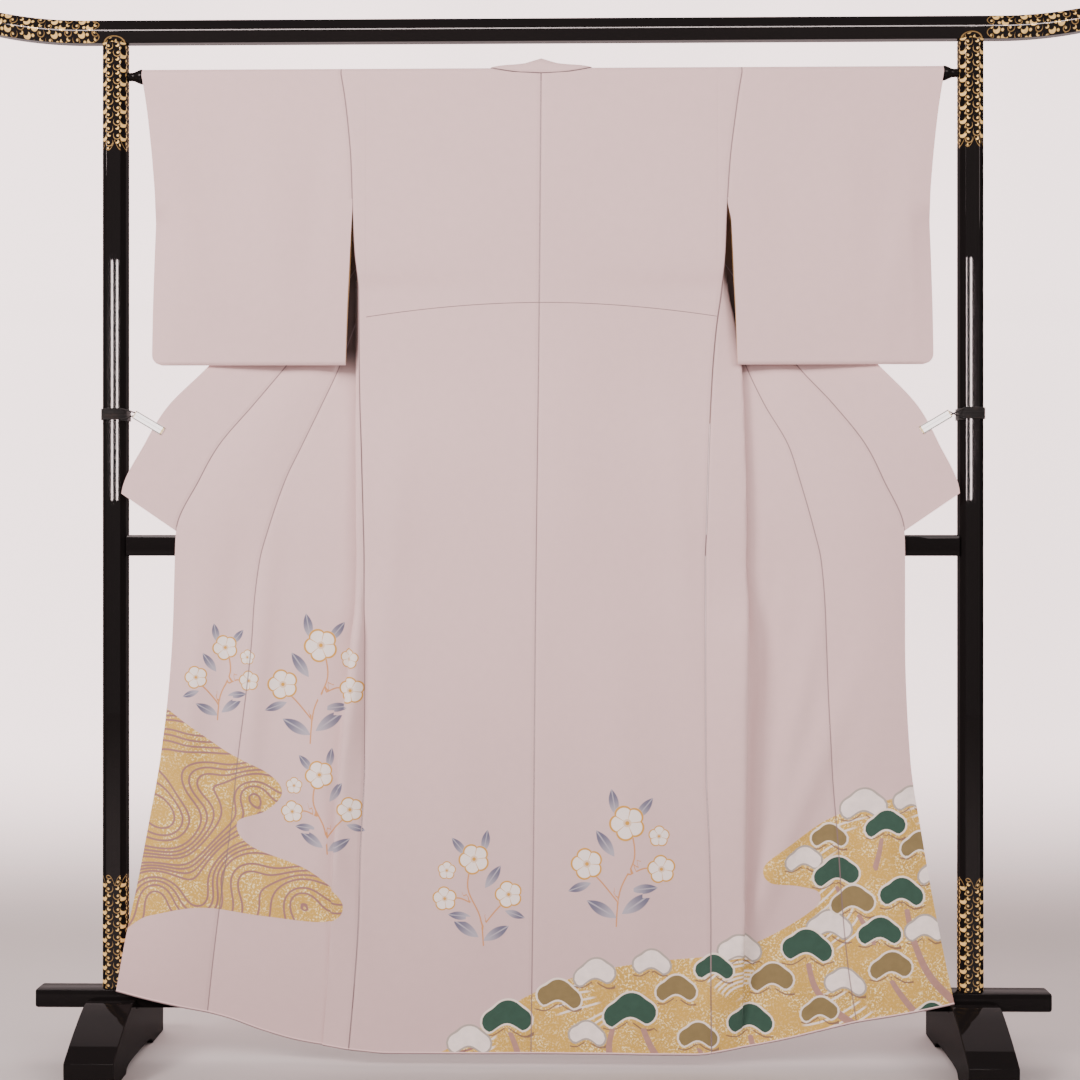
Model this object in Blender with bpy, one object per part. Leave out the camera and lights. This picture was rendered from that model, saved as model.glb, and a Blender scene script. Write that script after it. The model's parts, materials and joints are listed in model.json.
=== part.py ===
# An irotomesode, a lined formal kimono, hung open on a lacquered kimono rack.
#
# The rack's rod runs through both sleeves, so the back of the garment faces -Y, flat, and both
# front panels are folded out to the sides behind it, where two clips hold the collar to the posts.
# Metres, +Z up, +X to the right as one looks at the back of the garment, +Y behind it.
# The origin is on the floor, under the middle of the rack.

import math

import bpy
import numpy as np

# Every height in this script is measured up from one level line, and the floor lies this far above
# it: add_solid takes it off again, so the feet stand at nought
FLOOR = 0.030

# Driving sizes of the garment
CLOTH = 0.0015
COLLAR_CLOTH = 0.0025
SEAM = 0.0003
FRONT_WIDTH = 0.240
ARMHOLE_END = 1.461
CUFF_END = 1.455
OKUMI_TIP = 1.440
COLLAR_END = 0.913
HEM = 0.055
HEM_LIFT_TOP = 0.60
NECK_HALF = 0.085
SLEEVE_BOTTOM = 1.190
SLEEVE_CORNER = 0.017
SLEEVE_ACROSS = (0.0, 0.15, 0.35, 0.55, 0.75, 0.90, 0.97, 1.0)
SLEEVE_ROUND_ROD = (150.0, 120.0, 90.0, 60.0, 30.0)
CUFF_SHUT = 0.90
BAG_ROOM = 0.0140

# Driving sizes of the rack
ROD_HEIGHT = 1.673
ROD_RADIUS = 0.009
ROD_HALF = 0.676
DRAPE = 0.0108
POST_X = 0.712
POST_HALF = 0.0195
POST_CHAMFER = 0.008
TOP_RAIL = (1.7275, 1.7655)
TOP_RAIL_HALF = 0.955
TOP_RAIL_DEPTH = 0.019
TOP_RAIL_FLAT = 0.010
TOP_RAIL_STRAIGHT = 0.76
TOP_RAIL_RISE = 0.026
MID_RAIL = (0.8715, 0.9065)
MID_RAIL_DEPTH = 0.0175
BASE_RAIL = (0.1200, 0.1510)
BASE_RAIL_HALF = 0.842
BASE_RAIL_DEPTH = 0.0225
RAIL_CHAMFER = 0.004
FOOT_WIDTH = 0.080
FOOT_REACH = 0.173
CUP_MOUTH = 0.668
CUP_RADIUS = 0.0125
CUP_NECK = 0.0070
CLIP_PLACE = (0.644, 1.090)
CLIP_AIM = (0.862, 0.508)
CLIP_LENGTH = 0.055
CLIP_WIDTH = 0.012
CLIP_REACH = 0.017
CLIP_HALF = 0.0040
JAW_HALF = 0.0036
JAW_ROOM = 0.0007
JAW_ROOT = 0.003
TIE_RADIUS = 0.0012
TIE_HEIGHT = 1.110
TIE_TURNS = 2.25
TIE_DROP = 0.0034
TIE_CUT = 0.80

# One half of the foot's side view as (y, z), from beside the base rail over the toe's sloping
# back, down its upright face, and back along the underside to the middle of the arch
FOOT_BACK = ((0.0420, 0.1345), (0.0520, 0.1325), (0.0700, 0.1255), (0.0900, 0.1165),
             (0.1100, 0.1070), (0.1300, 0.0965), (0.1500, 0.0850), (0.1650, 0.0760))
FOOT_TOE = ((FOOT_REACH, 0.0705), (FOOT_REACH, FLOOR))
FOOT_ARCH = ((0.0930, FLOOR), (0.0880, 0.0370), (0.0780, 0.0410), (0.0450, 0.0430))

# The cup's outside as (x, radius), between the post and its mouth
CUP_FLARE = ((0.6840, CUP_NECK), (0.6790, 0.0085), (0.6730, 0.0110))

# Heights of the rows of points in the body panels, hem to shoulder
ROWS = (HEM, 0.16, 0.27, 0.38, 0.50, 0.62, 0.735, 0.80, 0.865, COLLAR_END, 0.98, 1.052, 1.09,
        1.125, 1.155, 1.185, 1.25, 1.315, 1.345, 1.38, OKUMI_TIP, 1.50, 1.55, 1.575, 1.60, 1.64,
        ROD_HEIGHT)
OVER_ROD = (172.0, 157.5, 135.0, 112.5, 90.0, 67.5, 45.0, 22.5)


class Table:
    """A short table with named columns, read on a smooth curve through its rows."""

    def __init__(self, columns, rows):
        self.columns = columns
        self.rows = np.array(rows, dtype=float)

    def __call__(self, name, where):
        return smooth_between(self.rows[:, 0], self.rows[:, self.columns.index(name)], where)


def smooth_between(xs, ys, where):
    """Monotone cubic through the points, so the curve never swings past a row."""
    where = min(max(where, xs[0]), xs[-1])
    step = np.diff(xs)
    slope = np.diff(ys) / step
    tangent = np.empty(len(xs))
    tangent[0], tangent[-1] = slope[0], slope[-1]
    for i in range(1, len(xs) - 1):
        low, high = slope[i - 1], slope[i]
        tangent[i] = 2 * low * high / (low + high) if low * high > 0 else 0.0
    i = int(min(max(np.searchsorted(xs, where) - 1, 0), len(step) - 1))
    t = (where - xs[i]) / step[i]
    return float((2 * t**3 - 3 * t**2 + 1) * ys[i] + (t**3 - 2 * t**2 + t) * step[i] * tangent[i]
                 + (3 * t**2 - 2 * t**3) * ys[i + 1] + (t**3 - t**2) * step[i] * tangent[i + 1])


# Each half of the front, as distances outward from the middle:
#   side    side seam, and above it the sleeve seam
#   out     outer fold of the pleat that turns the panel back behind itself
#   edge    okumi seam, and above the okumi's tip the collar seam
#   outer   front edge of the okumi, and above the collar's end the collar seam
#   depth   how far the pleat stands from its front leg to its back leg
FRONT_COLUMNS = ("z", "side", "out", "edge", "outer", "depth")
FRONT = {
    "right": Table(FRONT_COLUMNS, [
        (0.055, 0.280, 0.330, 0.519, 0.679, 0.040),
        (0.160, 0.279, 0.332, 0.505, 0.661, 0.040),
        (0.270, 0.279, 0.334, 0.496, 0.643, 0.040),
        (0.380, 0.277, 0.336, 0.489, 0.627, 0.040),
        (0.530, 0.271, 0.338, 0.478, 0.608, 0.040),
        (0.735, 0.270, 0.341, 0.470, 0.600, 0.033),
        (0.790, 0.270, 0.341, 0.468, 0.600, 0.022),
        (0.865, 0.270, 0.337, 0.462, 0.600, 0.018),
        (0.913, 0.272, 0.338, 0.451, 0.599, 0.018),
        (1.000, 0.275, 0.338, 0.427, 0.564, 0.018),
        (1.052, 0.277, 0.337, 0.411, 0.539, 0.018),
        (1.125, 0.281, 0.336, 0.371, 0.484, 0.018),
        (1.185, 0.285, 0.334, 0.344, 0.430, 0.018),
        (1.250, 0.291, 0.326, 0.320, 0.382, 0.018),
        (1.315, 0.300, 0.312, 0.293, 0.338, 0.018),
        (1.380, 0.306, 0.306, 0.262, 0.293, 0.018),
        (1.440, 0.308, 0.308, 0.230, 0.236, 0.018),
        (1.530, 0.3135, 0.3135, 0.165, 0.165, 0.024),
        (1.600, 0.3220, 0.3220, 0.092, 0.092, 0.020),
        (1.640, 0.3275, 0.3275, 0.0845, 0.0845, 0.000),
        (1.673, 0.3330, 0.3330, 0.0850, 0.0850, 0.000)]),
    "left": Table(FRONT_COLUMNS, [
        (0.055, 0.316, 0.360, 0.552, 0.704, 0.040),
        (0.160, 0.307, 0.352, 0.542, 0.689, 0.040),
        (0.270, 0.2995, 0.346, 0.530, 0.670, 0.040),
        (0.380, 0.297, 0.340, 0.516, 0.653, 0.040),
        (0.530, 0.290, 0.330, 0.501, 0.631, 0.040),
        (0.735, 0.290, 0.312, 0.478, 0.612, 0.033),
        (0.790, 0.291, 0.306, 0.475, 0.610, 0.022),
        (0.865, 0.291, 0.3045, 0.466, 0.608, 0.018),
        (0.913, 0.292, 0.305, 0.453, 0.606, 0.018),
        (1.000, 0.295, 0.306, 0.424, 0.567, 0.018),
        (1.052, 0.297, 0.307, 0.400, 0.539, 0.018),
        (1.125, 0.301, 0.309, 0.367, 0.480, 0.018),
        (1.185, 0.303, 0.310, 0.341, 0.432, 0.018),
        (1.250, 0.304, 0.311, 0.317, 0.382, 0.018),
        (1.315, 0.305, 0.311, 0.292, 0.338, 0.018),
        (1.380, 0.311, 0.311, 0.262, 0.293, 0.018),
        (1.440, 0.3135, 0.3135, 0.230, 0.236, 0.018),
        (1.530, 0.3165, 0.3165, 0.165, 0.165, 0.024),
        (1.600, 0.3225, 0.3225, 0.092, 0.092, 0.020),
        (1.640, 0.3275, 0.3275, 0.0845, 0.0845, 0.000),
        (1.673, 0.3330, 0.3330, 0.0850, 0.0850, 0.000)]),
}
# Room at the side seam, where the front turns back behind the seam
SIDE_GAP = {"right": 0.0005, "left": 0.0015}

# How far each layer stands from the rack's plane, towards -Y where it is negative:
#   back_mid    back panels at the centre seam       back_side    back panel at its side edge
#   front_side  front panel at its side edge         fold         middle leg of the pleat
#   edge, outer and collar                           okumi seam, front edge, collar's free edge
DEPTH = Table(("z", "back_mid", "back_side", "front_side", "fold", "edge", "outer", "collar"), [
    (0.055, -0.0420, -0.0420, -0.0420, -0.0320, -0.0300, -0.0300, -0.030),
    (0.160, -0.0420, -0.0420, -0.0420, -0.0360, -0.0310, -0.0290, -0.030),
    (0.270, -0.0420, -0.0420, -0.0420, -0.0380, -0.0310, -0.0280, -0.030),
    (0.380, -0.0420, -0.0420, -0.0420, -0.0400, -0.0300, -0.0270, -0.030),
    (0.530, -0.0420, -0.0420, -0.0420, -0.0430, -0.0290, -0.0250, -0.030),
    (0.735, -0.0415, -0.0410, -0.0410, -0.0380, -0.0260, -0.0230, -0.030),
    (0.865, -0.0400, -0.0385, -0.0385, -0.0295, -0.0230, -0.0230, -0.030),
    (0.913, -0.0390, -0.0385, -0.0385, -0.0295, -0.0225, -0.0230, -0.027),
    (1.000, -0.0345, -0.0330, -0.0330, -0.0230, -0.0170, -0.0190, -0.023),
    (1.052, -0.0300, -0.0270, -0.0270, -0.0160, -0.0100, -0.0130, -0.017),
    (1.125, -0.0210, -0.0140, -0.0140, -0.0010, 0.0050, 0.0000, 0.000),
    (1.185, -0.0145, -0.0060, -0.0060, 0.0108, 0.0175, 0.0120, 0.012),
    (1.250, -0.0115, -0.0020, -0.0020, 0.0150, 0.0230, 0.0210, 0.018),
    (1.315, -0.0108, 0.0000, 0.0000, 0.0150, 0.0235, 0.0230, 0.021),
    (1.345, -0.0106, -0.0055, 0.0065, 0.0135, 0.0225, 0.0225, 0.022),
    (1.380, -0.0108, -0.0085, 0.0095, 0.0120, 0.0210, 0.0210, 0.023),
    (1.440, -0.0108, -0.0108, 0.0108, 0.0108, 0.0198, 0.0198, 0.025),
    (1.530, -0.0108, -0.0108, 0.0108, 0.0108, 0.0228, 0.0228, 0.044),
    (1.600, -0.0108, -0.0108, 0.0108, 0.0108, 0.0208, 0.0208, 0.058),
    (1.640, -0.0108, -0.0108, 0.0108, 0.0108, 0.0108, 0.0108, 0.042),
    (1.673, -0.0108, -0.0108, 0.0108, 0.0108, 0.0108, 0.0108, 0.027)])

# The centre seam hangs a little to the left, and the hem rises outward on each side
CENTRE = Table(("z", "x"), [(0.055, -0.016), (0.38, -0.012), (0.735, -0.009), (1.0, -0.006),
                            (1.3, -0.003), (1.673, 0.0)])
HEM_LINE = Table(("out", "left", "right"), [
    (0.00, 0.0560, 0.0560), (0.25, 0.0550, 0.0550), (0.30, 0.0590, 0.0600), (0.35, 0.0645, 0.0680),
    (0.40, 0.0725, 0.0780), (0.46, 0.0890, 0.0925), (0.52, 0.1100, 0.1070), (0.60, 0.1290, 0.1230),
    (0.71, 0.1535, 0.1430)])

# Sleeve's outer edge, and its inner edge where it hangs free below the armhole
SLEEVE = Table(("z", "outer", "inner"), [
    (1.190, 0.650, 0.3260), (1.280, 0.6485, 0.3230), (1.370, 0.6460, 0.3185), (1.455, 0.6435, 0.3150),
    (1.520, 0.6475, 0.3170), (1.600, 0.6555, 0.3230), (1.640, 0.6610, 0.3280), (1.673, 0.6665, 0.3333)])

# The collar from its end up to the shoulder: where its free edge lies from its seam, and the room
# between the seam and the panel it is sewn to, outward and towards +Y
COLLAR = Table(("z", "out", "up", "room_out", "room_back"), [
    (0.913, 0.090, 0.062, 0.0006, 0.0), (1.000, 0.089, 0.062, 0.0006, 0.0),
    (1.052, 0.087, 0.062, 0.0006, 0.0), (1.125, 0.080, 0.060, 0.0006, 0.0),
    (1.185, 0.076, 0.056, 0.0006, 0.0), (1.315, 0.070, 0.050, 0.0006, 0.0),
    (1.440, 0.064, 0.046, 0.0006, 0.0), (1.500, 0.055, 0.036, 0.0006, 0.0),
    (1.550, 0.036, 0.018, 0.0008, 0.0008), (1.600, 0.002, -0.002, 0.0, 0.0014),
    (1.640, -0.026, -0.010, -0.0016, 0.0008), (1.673, -0.039, -0.020, -0.0010, 0.0004)])

# The collar across the neck, by the angle of its seam round the rod: the three points that shape
# its roll over the rod, each as how far outward, y and z
NECK = Table(("angle", "x1", "y1", "z1", "x2", "y2", "z2", "x3", "y3", "z3"), [
    (0.0, 0.0730, 0.0150, 1.6720, 0.0600, 0.0220, 1.6650, 0.0460, 0.0270, 1.6530),
    (45.0, 0.0740, 0.0135, 1.6820, 0.0560, 0.0215, 1.6760, 0.0400, 0.0225, 1.6570),
    (90.0, 0.0740, 0.0045, 1.6890, 0.0520, 0.0185, 1.6860, 0.0330, 0.0190, 1.6600),
    (135.0, 0.0630, -0.0070, 1.6920, 0.0430, 0.0140, 1.6940, 0.0255, 0.0168, 1.6635),
    (157.5, 0.0480, -0.0105, 1.6930, 0.0340, 0.0120, 1.6970, 0.0180, 0.0155, 1.6660),
    (172.0, 0.0300, -0.0114, 1.6960, 0.0200, 0.0110, 1.7000, 0.0100, 0.0150, 1.6675),
    (180.0, 0.0000, -0.0114, 1.7070, 0.0000, 0.0105, 1.7110, 0.0000, 0.0148, 1.6680)])


def clear_scene():
    for old in list(bpy.data.objects):
        bpy.data.objects.remove(old, do_unlink=True)


def material(name, colour, roughness, metallic=0.0):
    mat = bpy.data.materials.new(name)
    mat.use_nodes = True
    shader = mat.node_tree.nodes["Principled BSDF"]
    shader.inputs["Base Color"].default_value = (*colour, 1.0)
    shader.inputs["Roughness"].default_value = roughness
    shader.inputs["Metallic"].default_value = metallic
    mat.diffuse_color = (*colour, 1.0)
    return mat


def add_solid(name, points, faces, mat, smooth=True):
    """One closed body from its points and faces, set down to the floor, its faces turned outward."""
    points = np.asarray(points, dtype=float) - (0.0, 0.0, FLOOR)
    volume = 0.0
    for face in faces:
        first = points[face[0]]
        for i in range(1, len(face) - 1):
            volume += np.dot(first, np.cross(points[face[i]], points[face[i + 1]]))
    if volume < 0:
        faces = [tuple(reversed(face)) for face in faces]
    mesh = bpy.data.meshes.new(name)
    mesh.from_pydata([tuple(p) for p in points], [], [tuple(f) for f in faces])
    mesh.update()
    if smooth:
        mesh.shade_smooth()
        mesh.set_sharp_from_angle(angle=math.radians(35))
    mesh.materials.append(mat)
    obj = bpy.data.objects.new(name, mesh)
    bpy.context.collection.objects.link(obj)
    return obj


def cloth_wall(name, grid, thickness, mat, ring=False):
    """A wall of cloth about a grid of points, closed round its rim; a ring's rows run round it."""
    grid = np.asarray(grid, dtype=float)
    rows, cols = grid.shape[:2]
    if ring:
        along = np.roll(grid, -1, axis=0) - np.roll(grid, 1, axis=0)
    else:
        along = np.gradient(grid, axis=0)
    across = np.gradient(grid, axis=1)
    normal = np.cross(along, across)
    normal /= np.linalg.norm(normal, axis=2, keepdims=True)
    upper = (grid + normal * thickness / 2).reshape(-1, 3)
    lower = (grid - normal * thickness / 2).reshape(-1, 3)
    points = np.vstack([upper, lower])
    middle = grid.reshape(-1, 3)
    under = rows * cols

    def at(i, j):
        return (i % rows) * cols + j

    faces = []
    last_row = rows if ring else rows - 1
    for i in range(last_row):
        for j in range(cols - 1):
            a, b, c, d = at(i, j), at(i + 1, j), at(i + 1, j + 1), at(i, j + 1)
            if np.linalg.norm(middle[a] - middle[c]) > np.linalg.norm(middle[b] - middle[d]):
                a, b, c, d = b, c, d, a
            for triangle in ((a, b, c), (a, c, d)):
                faces.append(triangle)
                faces.append(tuple(under + v for v in reversed(triangle)))
        for j, turn in ((0, 1), (cols - 1, -1)):
            rim = (at(i + 1, j), at(i, j), under + at(i, j), under + at(i + 1, j))
            faces.append(rim[::turn])
    if not ring:
        for j in range(cols - 1):
            for i, turn in ((0, 1), (rows - 1, -1)):
                rim = (at(i, j), at(i, j + 1), under + at(i, j + 1), under + at(i, j))
                faces.append(rim[::turn])
    return add_solid(name, points, faces, mat)


PER_CORNER = 8


def rounded(corners):
    """Points along a smooth curve shaped by the corners: so many points for each inner corner."""
    corners = np.asarray(corners, dtype=float)
    points = []
    last = len(corners) - 2
    for i in range(1, len(corners) - 1):
        start = corners[0] if i == 1 else (corners[i - 1] + corners[i]) / 2
        end = corners[-1] if i == last else (corners[i] + corners[i + 1]) / 2
        for k in range(PER_CORNER + (1 if i == last else 0)):
            t = k / PER_CORNER
            points.append((1 - t)**2 * start + 2 * t * (1 - t) * corners[i] + t**2 * end)
    return np.array(points)


def lift(side, outward, z):
    """Height of a point of the row z, once the hem's rise is shared out up to HEM_LIFT_TOP."""
    fade = max(0.0, (HEM_LIFT_TOP - z) / (HEM_LIFT_TOP - HEM))
    return z + (HEM_LINE(side, abs(outward)) - HEM) * fade


def pleat_corners(side, z):
    """Corners of the front panel's section: front leg out, middle leg back in, back leg out."""
    front = FRONT[side]
    seam, out, edge = front("side", z), front("out", z), front("edge", z)
    depth = front("depth", z)
    inner = (2 * out - seam + edge + depth - FRONT_WIDTH) / 2
    if inner > out:
        inner = out
        depth = FRONT_WIDTH - (edge - seam)
    inner = min(inner, edge)
    near = min(depth / 2, 0.8 * (out - seam))
    far = depth / 2
    back_out = min(near, 0.4 * (out - inner))
    back_in = min(far, 0.4 * (out - inner))
    fold = DEPTH("fold", z)
    start = seam + (SIDE_GAP[side] if out > seam else 0.0)
    return [(start, DEPTH("front_side", z)), (out - near, fold - near), (out, fold - near), (out, fold),
            (out - back_out, fold), (inner + back_in, fold), (inner, fold), (inner, fold + far),
            (min(inner + far, edge), fold + far), (edge, DEPTH("edge", z))]


PLEAT_GROUPS = (2, 3, 2, 3, 3)
HALF_FOLD = 0.008
FOLD_ROOM = 0.004
OUTER_FOLD, INNER_FOLD = 2 * PER_CORNER, 6 * PER_CORNER


def pleat_section(side, z):
    """The section as points placed closely round its two folds and widely on its legs."""
    dense = rounded(pleat_corners(side, z))
    run = np.concatenate([[0.0], np.cumsum(np.linalg.norm(np.diff(dense, axis=0), axis=1))])
    total = run[-1]
    at_out = max(run[OUTER_FOLD], HALF_FOLD + FOLD_ROOM)
    at_in = min(run[INNER_FOLD], total - HALF_FOLD - FOLD_ROOM)
    at_out = min(at_out, at_in - 2 * HALF_FOLD - FOLD_ROOM)
    stops = (0.0, at_out - HALF_FOLD, at_out + HALF_FOLD, at_in - HALF_FOLD, at_in + HALF_FOLD, total)
    places = [0.0]
    for count, low, high in zip(PLEAT_GROUPS, stops, stops[1:]):
        places += [low + (high - low) * (k + 1) / count for k in range(count)]
    return np.column_stack([np.interp(places, run, dense[:, axis]) for axis in (0, 1)]), places


def neck_edge(angle):
    """How far out the neckline is, where it has come this far round the rod."""
    turn = min(max((180.0 - angle) / 90.0, 0.0), 1.0)
    return NECK_HALF * math.sqrt(1.0 - (1.0 - turn)**2)


def round_rod(angle, radius=DRAPE):
    """The point at this angle round the rod, as (y, z): 180 towards -Y, 90 on top, 0 towards +Y."""
    turn = math.radians(angle)
    return radius * math.cos(turn), ROD_HEIGHT + radius * math.sin(turn)


def body_panel(side, mat):
    """One length of cloth: back hem, up over the rod beside the neck, and down the front."""
    sign = 1 if side == "right" else -1
    front_rows = [pleat_section(side, z) for z in ROWS]
    count = len(front_rows[0][1])
    even = np.linspace(0.0, 1.0, count)
    grid = []
    for z in ROWS:
        inner = sign * CENTRE("x", z) + SEAM / 2
        outer = FRONT[side]("side", z) - SEAM / 2
        side_y, mid_y = DEPTH("back_side", z), DEPTH("back_mid", z)
        row = []
        for s in even:
            x = outer + (inner - outer) * s
            row.append((x, side_y + (mid_y - side_y) * s * s * (3 - 2 * s), lift(side, x, z)))
        grid.append(row)
    top_places = np.array(front_rows[-1][1]) / front_rows[-1][1][-1]
    for k, angle in enumerate(OVER_ROD):
        mix = (k + 1) / (len(OVER_ROD) + 1)
        share = even * (1 - mix) + top_places * mix
        y, z = round_rod(angle)
        outer = FRONT[side]("side", ROD_HEIGHT)
        inner = neck_edge(angle)
        grid.append([(outer + (inner - outer) * s, y, z) for s in share])
    for z, (section, _) in zip(reversed(ROWS), reversed(front_rows)):
        grid.append([(x, y, lift(side, x, z)) for x, y in section])
    grid = np.array(grid)
    grid[:, :, 0] *= sign
    return cloth_wall("body_" + side, grid, CLOTH, mat)


def okumi_panel(side, mat, columns=5):
    """The narrow panel sewn to the front: from its tip under the collar down to the hem."""
    sign = 1 if side == "right" else -1
    grid = []
    for z in ROWS:
        if z > OKUMI_TIP:
            break
        low, high = FRONT[side]("edge", z) + 2 * SEAM, FRONT[side]("outer", z) - 2 * SEAM
        row = []
        for s in np.linspace(0.0, 1.0, columns):
            x = low + (high - low) * s
            swell = 0.05 * (high - low) * math.sin(math.pi * s)
            y = DEPTH("edge", z) * (1 - s) + DEPTH("outer", z) * s - swell
            row.append((sign * x, y, lift(side, x, z)))
        grid.append(row)
    return cloth_wall("okumi_" + side, grid, CLOTH, mat)


def collar_station(side, z):
    """Four shaping points across the collar where its seam is at height z on the front."""
    seam = FRONT[side]("outer", z)
    start = np.array([seam + COLLAR("room_out", z), DEPTH("outer", z) + COLLAR("room_back", z), z])
    end = np.array([seam + COLLAR("out", z), DEPTH("collar", z), z + COLLAR("up", z)])
    return [start, start + (end - start) / 3, start + (end - start) * 2 / 3, end]


def neck_station(angle):
    """Four shaping points across the collar where its seam goes round the rod."""
    y, z = round_rod(angle, DRAPE + (COLLAR_CLOTH - CLOTH) / 2)
    rise = max(0.0, -math.cos(math.radians(angle)))
    start = np.array([max(neck_edge(angle) - 0.0010, 0.0), y, z + 0.0008 * rise])
    shape = [np.array([NECK(axis + str(k), angle) for axis in "xyz"]) for k in (1, 2, 3)]
    return [start] + shape


def across_collar(four, columns=5):
    """Points across the collar on the cubic curve of its four shaping points."""
    row = []
    for t in np.linspace(0.0, 1.0, columns):
        a, b, c, d = ((1 - t)**3, 3 * t * (1 - t)**2, 3 * t * t * (1 - t), t**3)
        row.append(a * four[0] + b * four[1] + c * four[2] + d * four[3])
    return row


def collar_grid():
    """The collar from its right end, round the neck, to its left end."""
    halves = {}
    for side in ("right", "left"):
        half = [across_collar(collar_station(side, z)) for z in ROWS if z >= COLLAR_END]
        half += [across_collar(neck_station(angle)) for angle in OVER_ROD[::-1] + (180.0,)]
        halves[side] = np.array(half)
    halves["left"][:, :, 0] *= -1
    return np.concatenate([halves["right"], halves["left"][-2::-1]])


def sleeve(side, mat):
    """A flat bag round the rod: open at the cuff above CUFF_END and towards the body."""
    sign = 1 if side == "right" else -1
    heights = [SLEEVE_BOTTOM + 0.006, SLEEVE_BOTTOM + 0.013] + [z for z in ROWS if z >= 1.25]
    bottom_slack, slack_reach = 0.0015, 0.1
    armhole_overlap, cuff_run = 0.03, 0.03

    def inner_edge(z):
        if z >= ARMHOLE_END - armhole_overlap:
            return FRONT[side]("side", z) + SEAM
        return SLEEVE("inner", z)

    def outer_edge(z):
        drop = SLEEVE_CORNER - (z - SLEEVE_BOTTOM)
        cut = SLEEVE_CORNER - math.sqrt(SLEEVE_CORNER**2 - drop**2) if drop > 0 else 0.0
        return SLEEVE("outer", z) - cut

    def layer_y(z, far):
        near_y = -DRAPE + bottom_slack * (1 - min(1.0, (z - SLEEVE_BOTTOM) / slack_reach))
        if not far:
            return near_y
        hang = max(0.0, (ARMHOLE_END - z) / (ARMHOLE_END - SLEEVE_BOTTOM))
        return DRAPE - BAG_ROOM * hang

    def row_at(z, y, partner):
        low, high = inner_edge(z), outer_edge(z)
        shut = min(max((CUFF_END - z) / cuff_run, 0.0), 1.0)
        row = []
        for s in SLEEVE_ACROSS:
            close = shut * min(max((s - CUFF_SHUT) / (1.0 - CUFF_SHUT), 0.0), 1.0)
            middle = (y + partner) / 2
            hold = middle + math.copysign(CLOTH / 2 + SEAM, y - middle)
            row.append((sign * (low + (high - low) * s), y + (hold - y) * close, z))
        return row

    grid = [row_at(z, layer_y(z, False), layer_y(z, True)) for z in heights]
    for angle in SLEEVE_ROUND_ROD:
        y, z = round_rod(angle)
        low, high = inner_edge(ROD_HEIGHT), outer_edge(ROD_HEIGHT)
        grid.append([(sign * (low + (high - low) * s), y, z) for s in SLEEVE_ACROSS])
    grid += [row_at(z, layer_y(z, True), layer_y(z, False)) for z in reversed(heights)]
    low_y = (layer_y(heights[0], False) + layer_y(heights[0], True)) / 2
    low, high = inner_edge(SLEEVE_BOTTOM), outer_edge(SLEEVE_BOTTOM)
    grid.append([(sign * (low + (high - low) * s), low_y, SLEEVE_BOTTOM) for s in SLEEVE_ACROSS])
    return cloth_wall("sleeve_" + side, grid, CLOTH, mat, ring=True)


def loft(name, sections, mat):
    """A solid through a list of like sections, closed by its first and last."""
    count = len(sections[0])
    points = [p for section in sections for p in section]
    faces = []
    for i in range(len(sections) - 1):
        for j in range(count):
            k = (j + 1) % count
            faces.append((i * count + j, i * count + k, (i + 1) * count + k, (i + 1) * count + j))
    faces.append(tuple(range(count))[::-1])
    faces.append(tuple(range((len(sections) - 1) * count, len(sections) * count)))
    return add_solid(name, points, faces, mat)


def chamfered(half_a, half_b, cut):
    """A rectangle with its corners cut off, round its centre."""
    a, b = half_a - cut, half_b - cut
    return [(half_a, -b), (half_a, b), (a, half_b), (-a, half_b),
            (-half_a, b), (-half_a, -b), (-a, -half_b), (a, -half_b)]


def post(side, mat):
    sign = 1 if side == "right" else -1
    outline = chamfered(POST_HALF, POST_HALF, POST_CHAMFER)
    ends = (BASE_RAIL[1] + SEAM, TOP_RAIL[0] - SEAM)
    return loft("post_" + side, [[(sign * POST_X + x, y, z) for x, y in outline] for z in ends], mat)


def top_rail(mat):
    """Six-sided rail whose ends sweep up past the posts."""
    middle = sum(TOP_RAIL) / 2
    half = (TOP_RAIL[1] - TOP_RAIL[0]) / 2
    flat = TOP_RAIL_FLAT
    outline = [(-TOP_RAIL_DEPTH, 0.0), (-flat, -half), (flat, -half), (TOP_RAIL_DEPTH, 0.0),
               (flat, half), (-flat, half)]
    places = [0.0, 0.4, TOP_RAIL_STRAIGHT, 0.80, 0.84, 0.88, 0.92, TOP_RAIL_HALF]
    places = [-x for x in reversed(places[1:])] + places
    sections = []
    for x in places:
        past = max(0.0, (abs(x) - TOP_RAIL_STRAIGHT) / (TOP_RAIL_HALF - TOP_RAIL_STRAIGHT))
        sections.append([(x, y, middle + TOP_RAIL_RISE * past**2 + z) for y, z in outline])
    return loft("top_rail", sections, mat)


def straight_rail(name, half_length, heights, depth, mat):
    middle = sum(heights) / 2
    half = (heights[1] - heights[0]) / 2
    outline = chamfered(depth, half, RAIL_CHAMFER)
    return loft(name, [[(x, y, middle + z) for y, z in outline] for x in (-half_length, half_length)],
                mat)


def foot(side, mat):
    """A foot across each end: notched above for the base rail, with an arch between its toes."""
    sign = 1 if side == "right" else -1
    beside = BASE_RAIL_DEPTH + SEAM
    half = [(beside, BASE_RAIL[0] - SEAM), (beside, FOOT_BACK[0][1])]
    half += FOOT_BACK + FOOT_TOE + FOOT_ARCH
    outline = [(-y, z) for y, z in half] + [(y, z) for y, z in reversed(half)]
    inside = sign * POST_X - FOOT_WIDTH / 2
    return loft("foot_" + side, [[(inside + w, y, z) for y, z in outline] for w in (0.0, FOOT_WIDTH)],
                mat)


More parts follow.
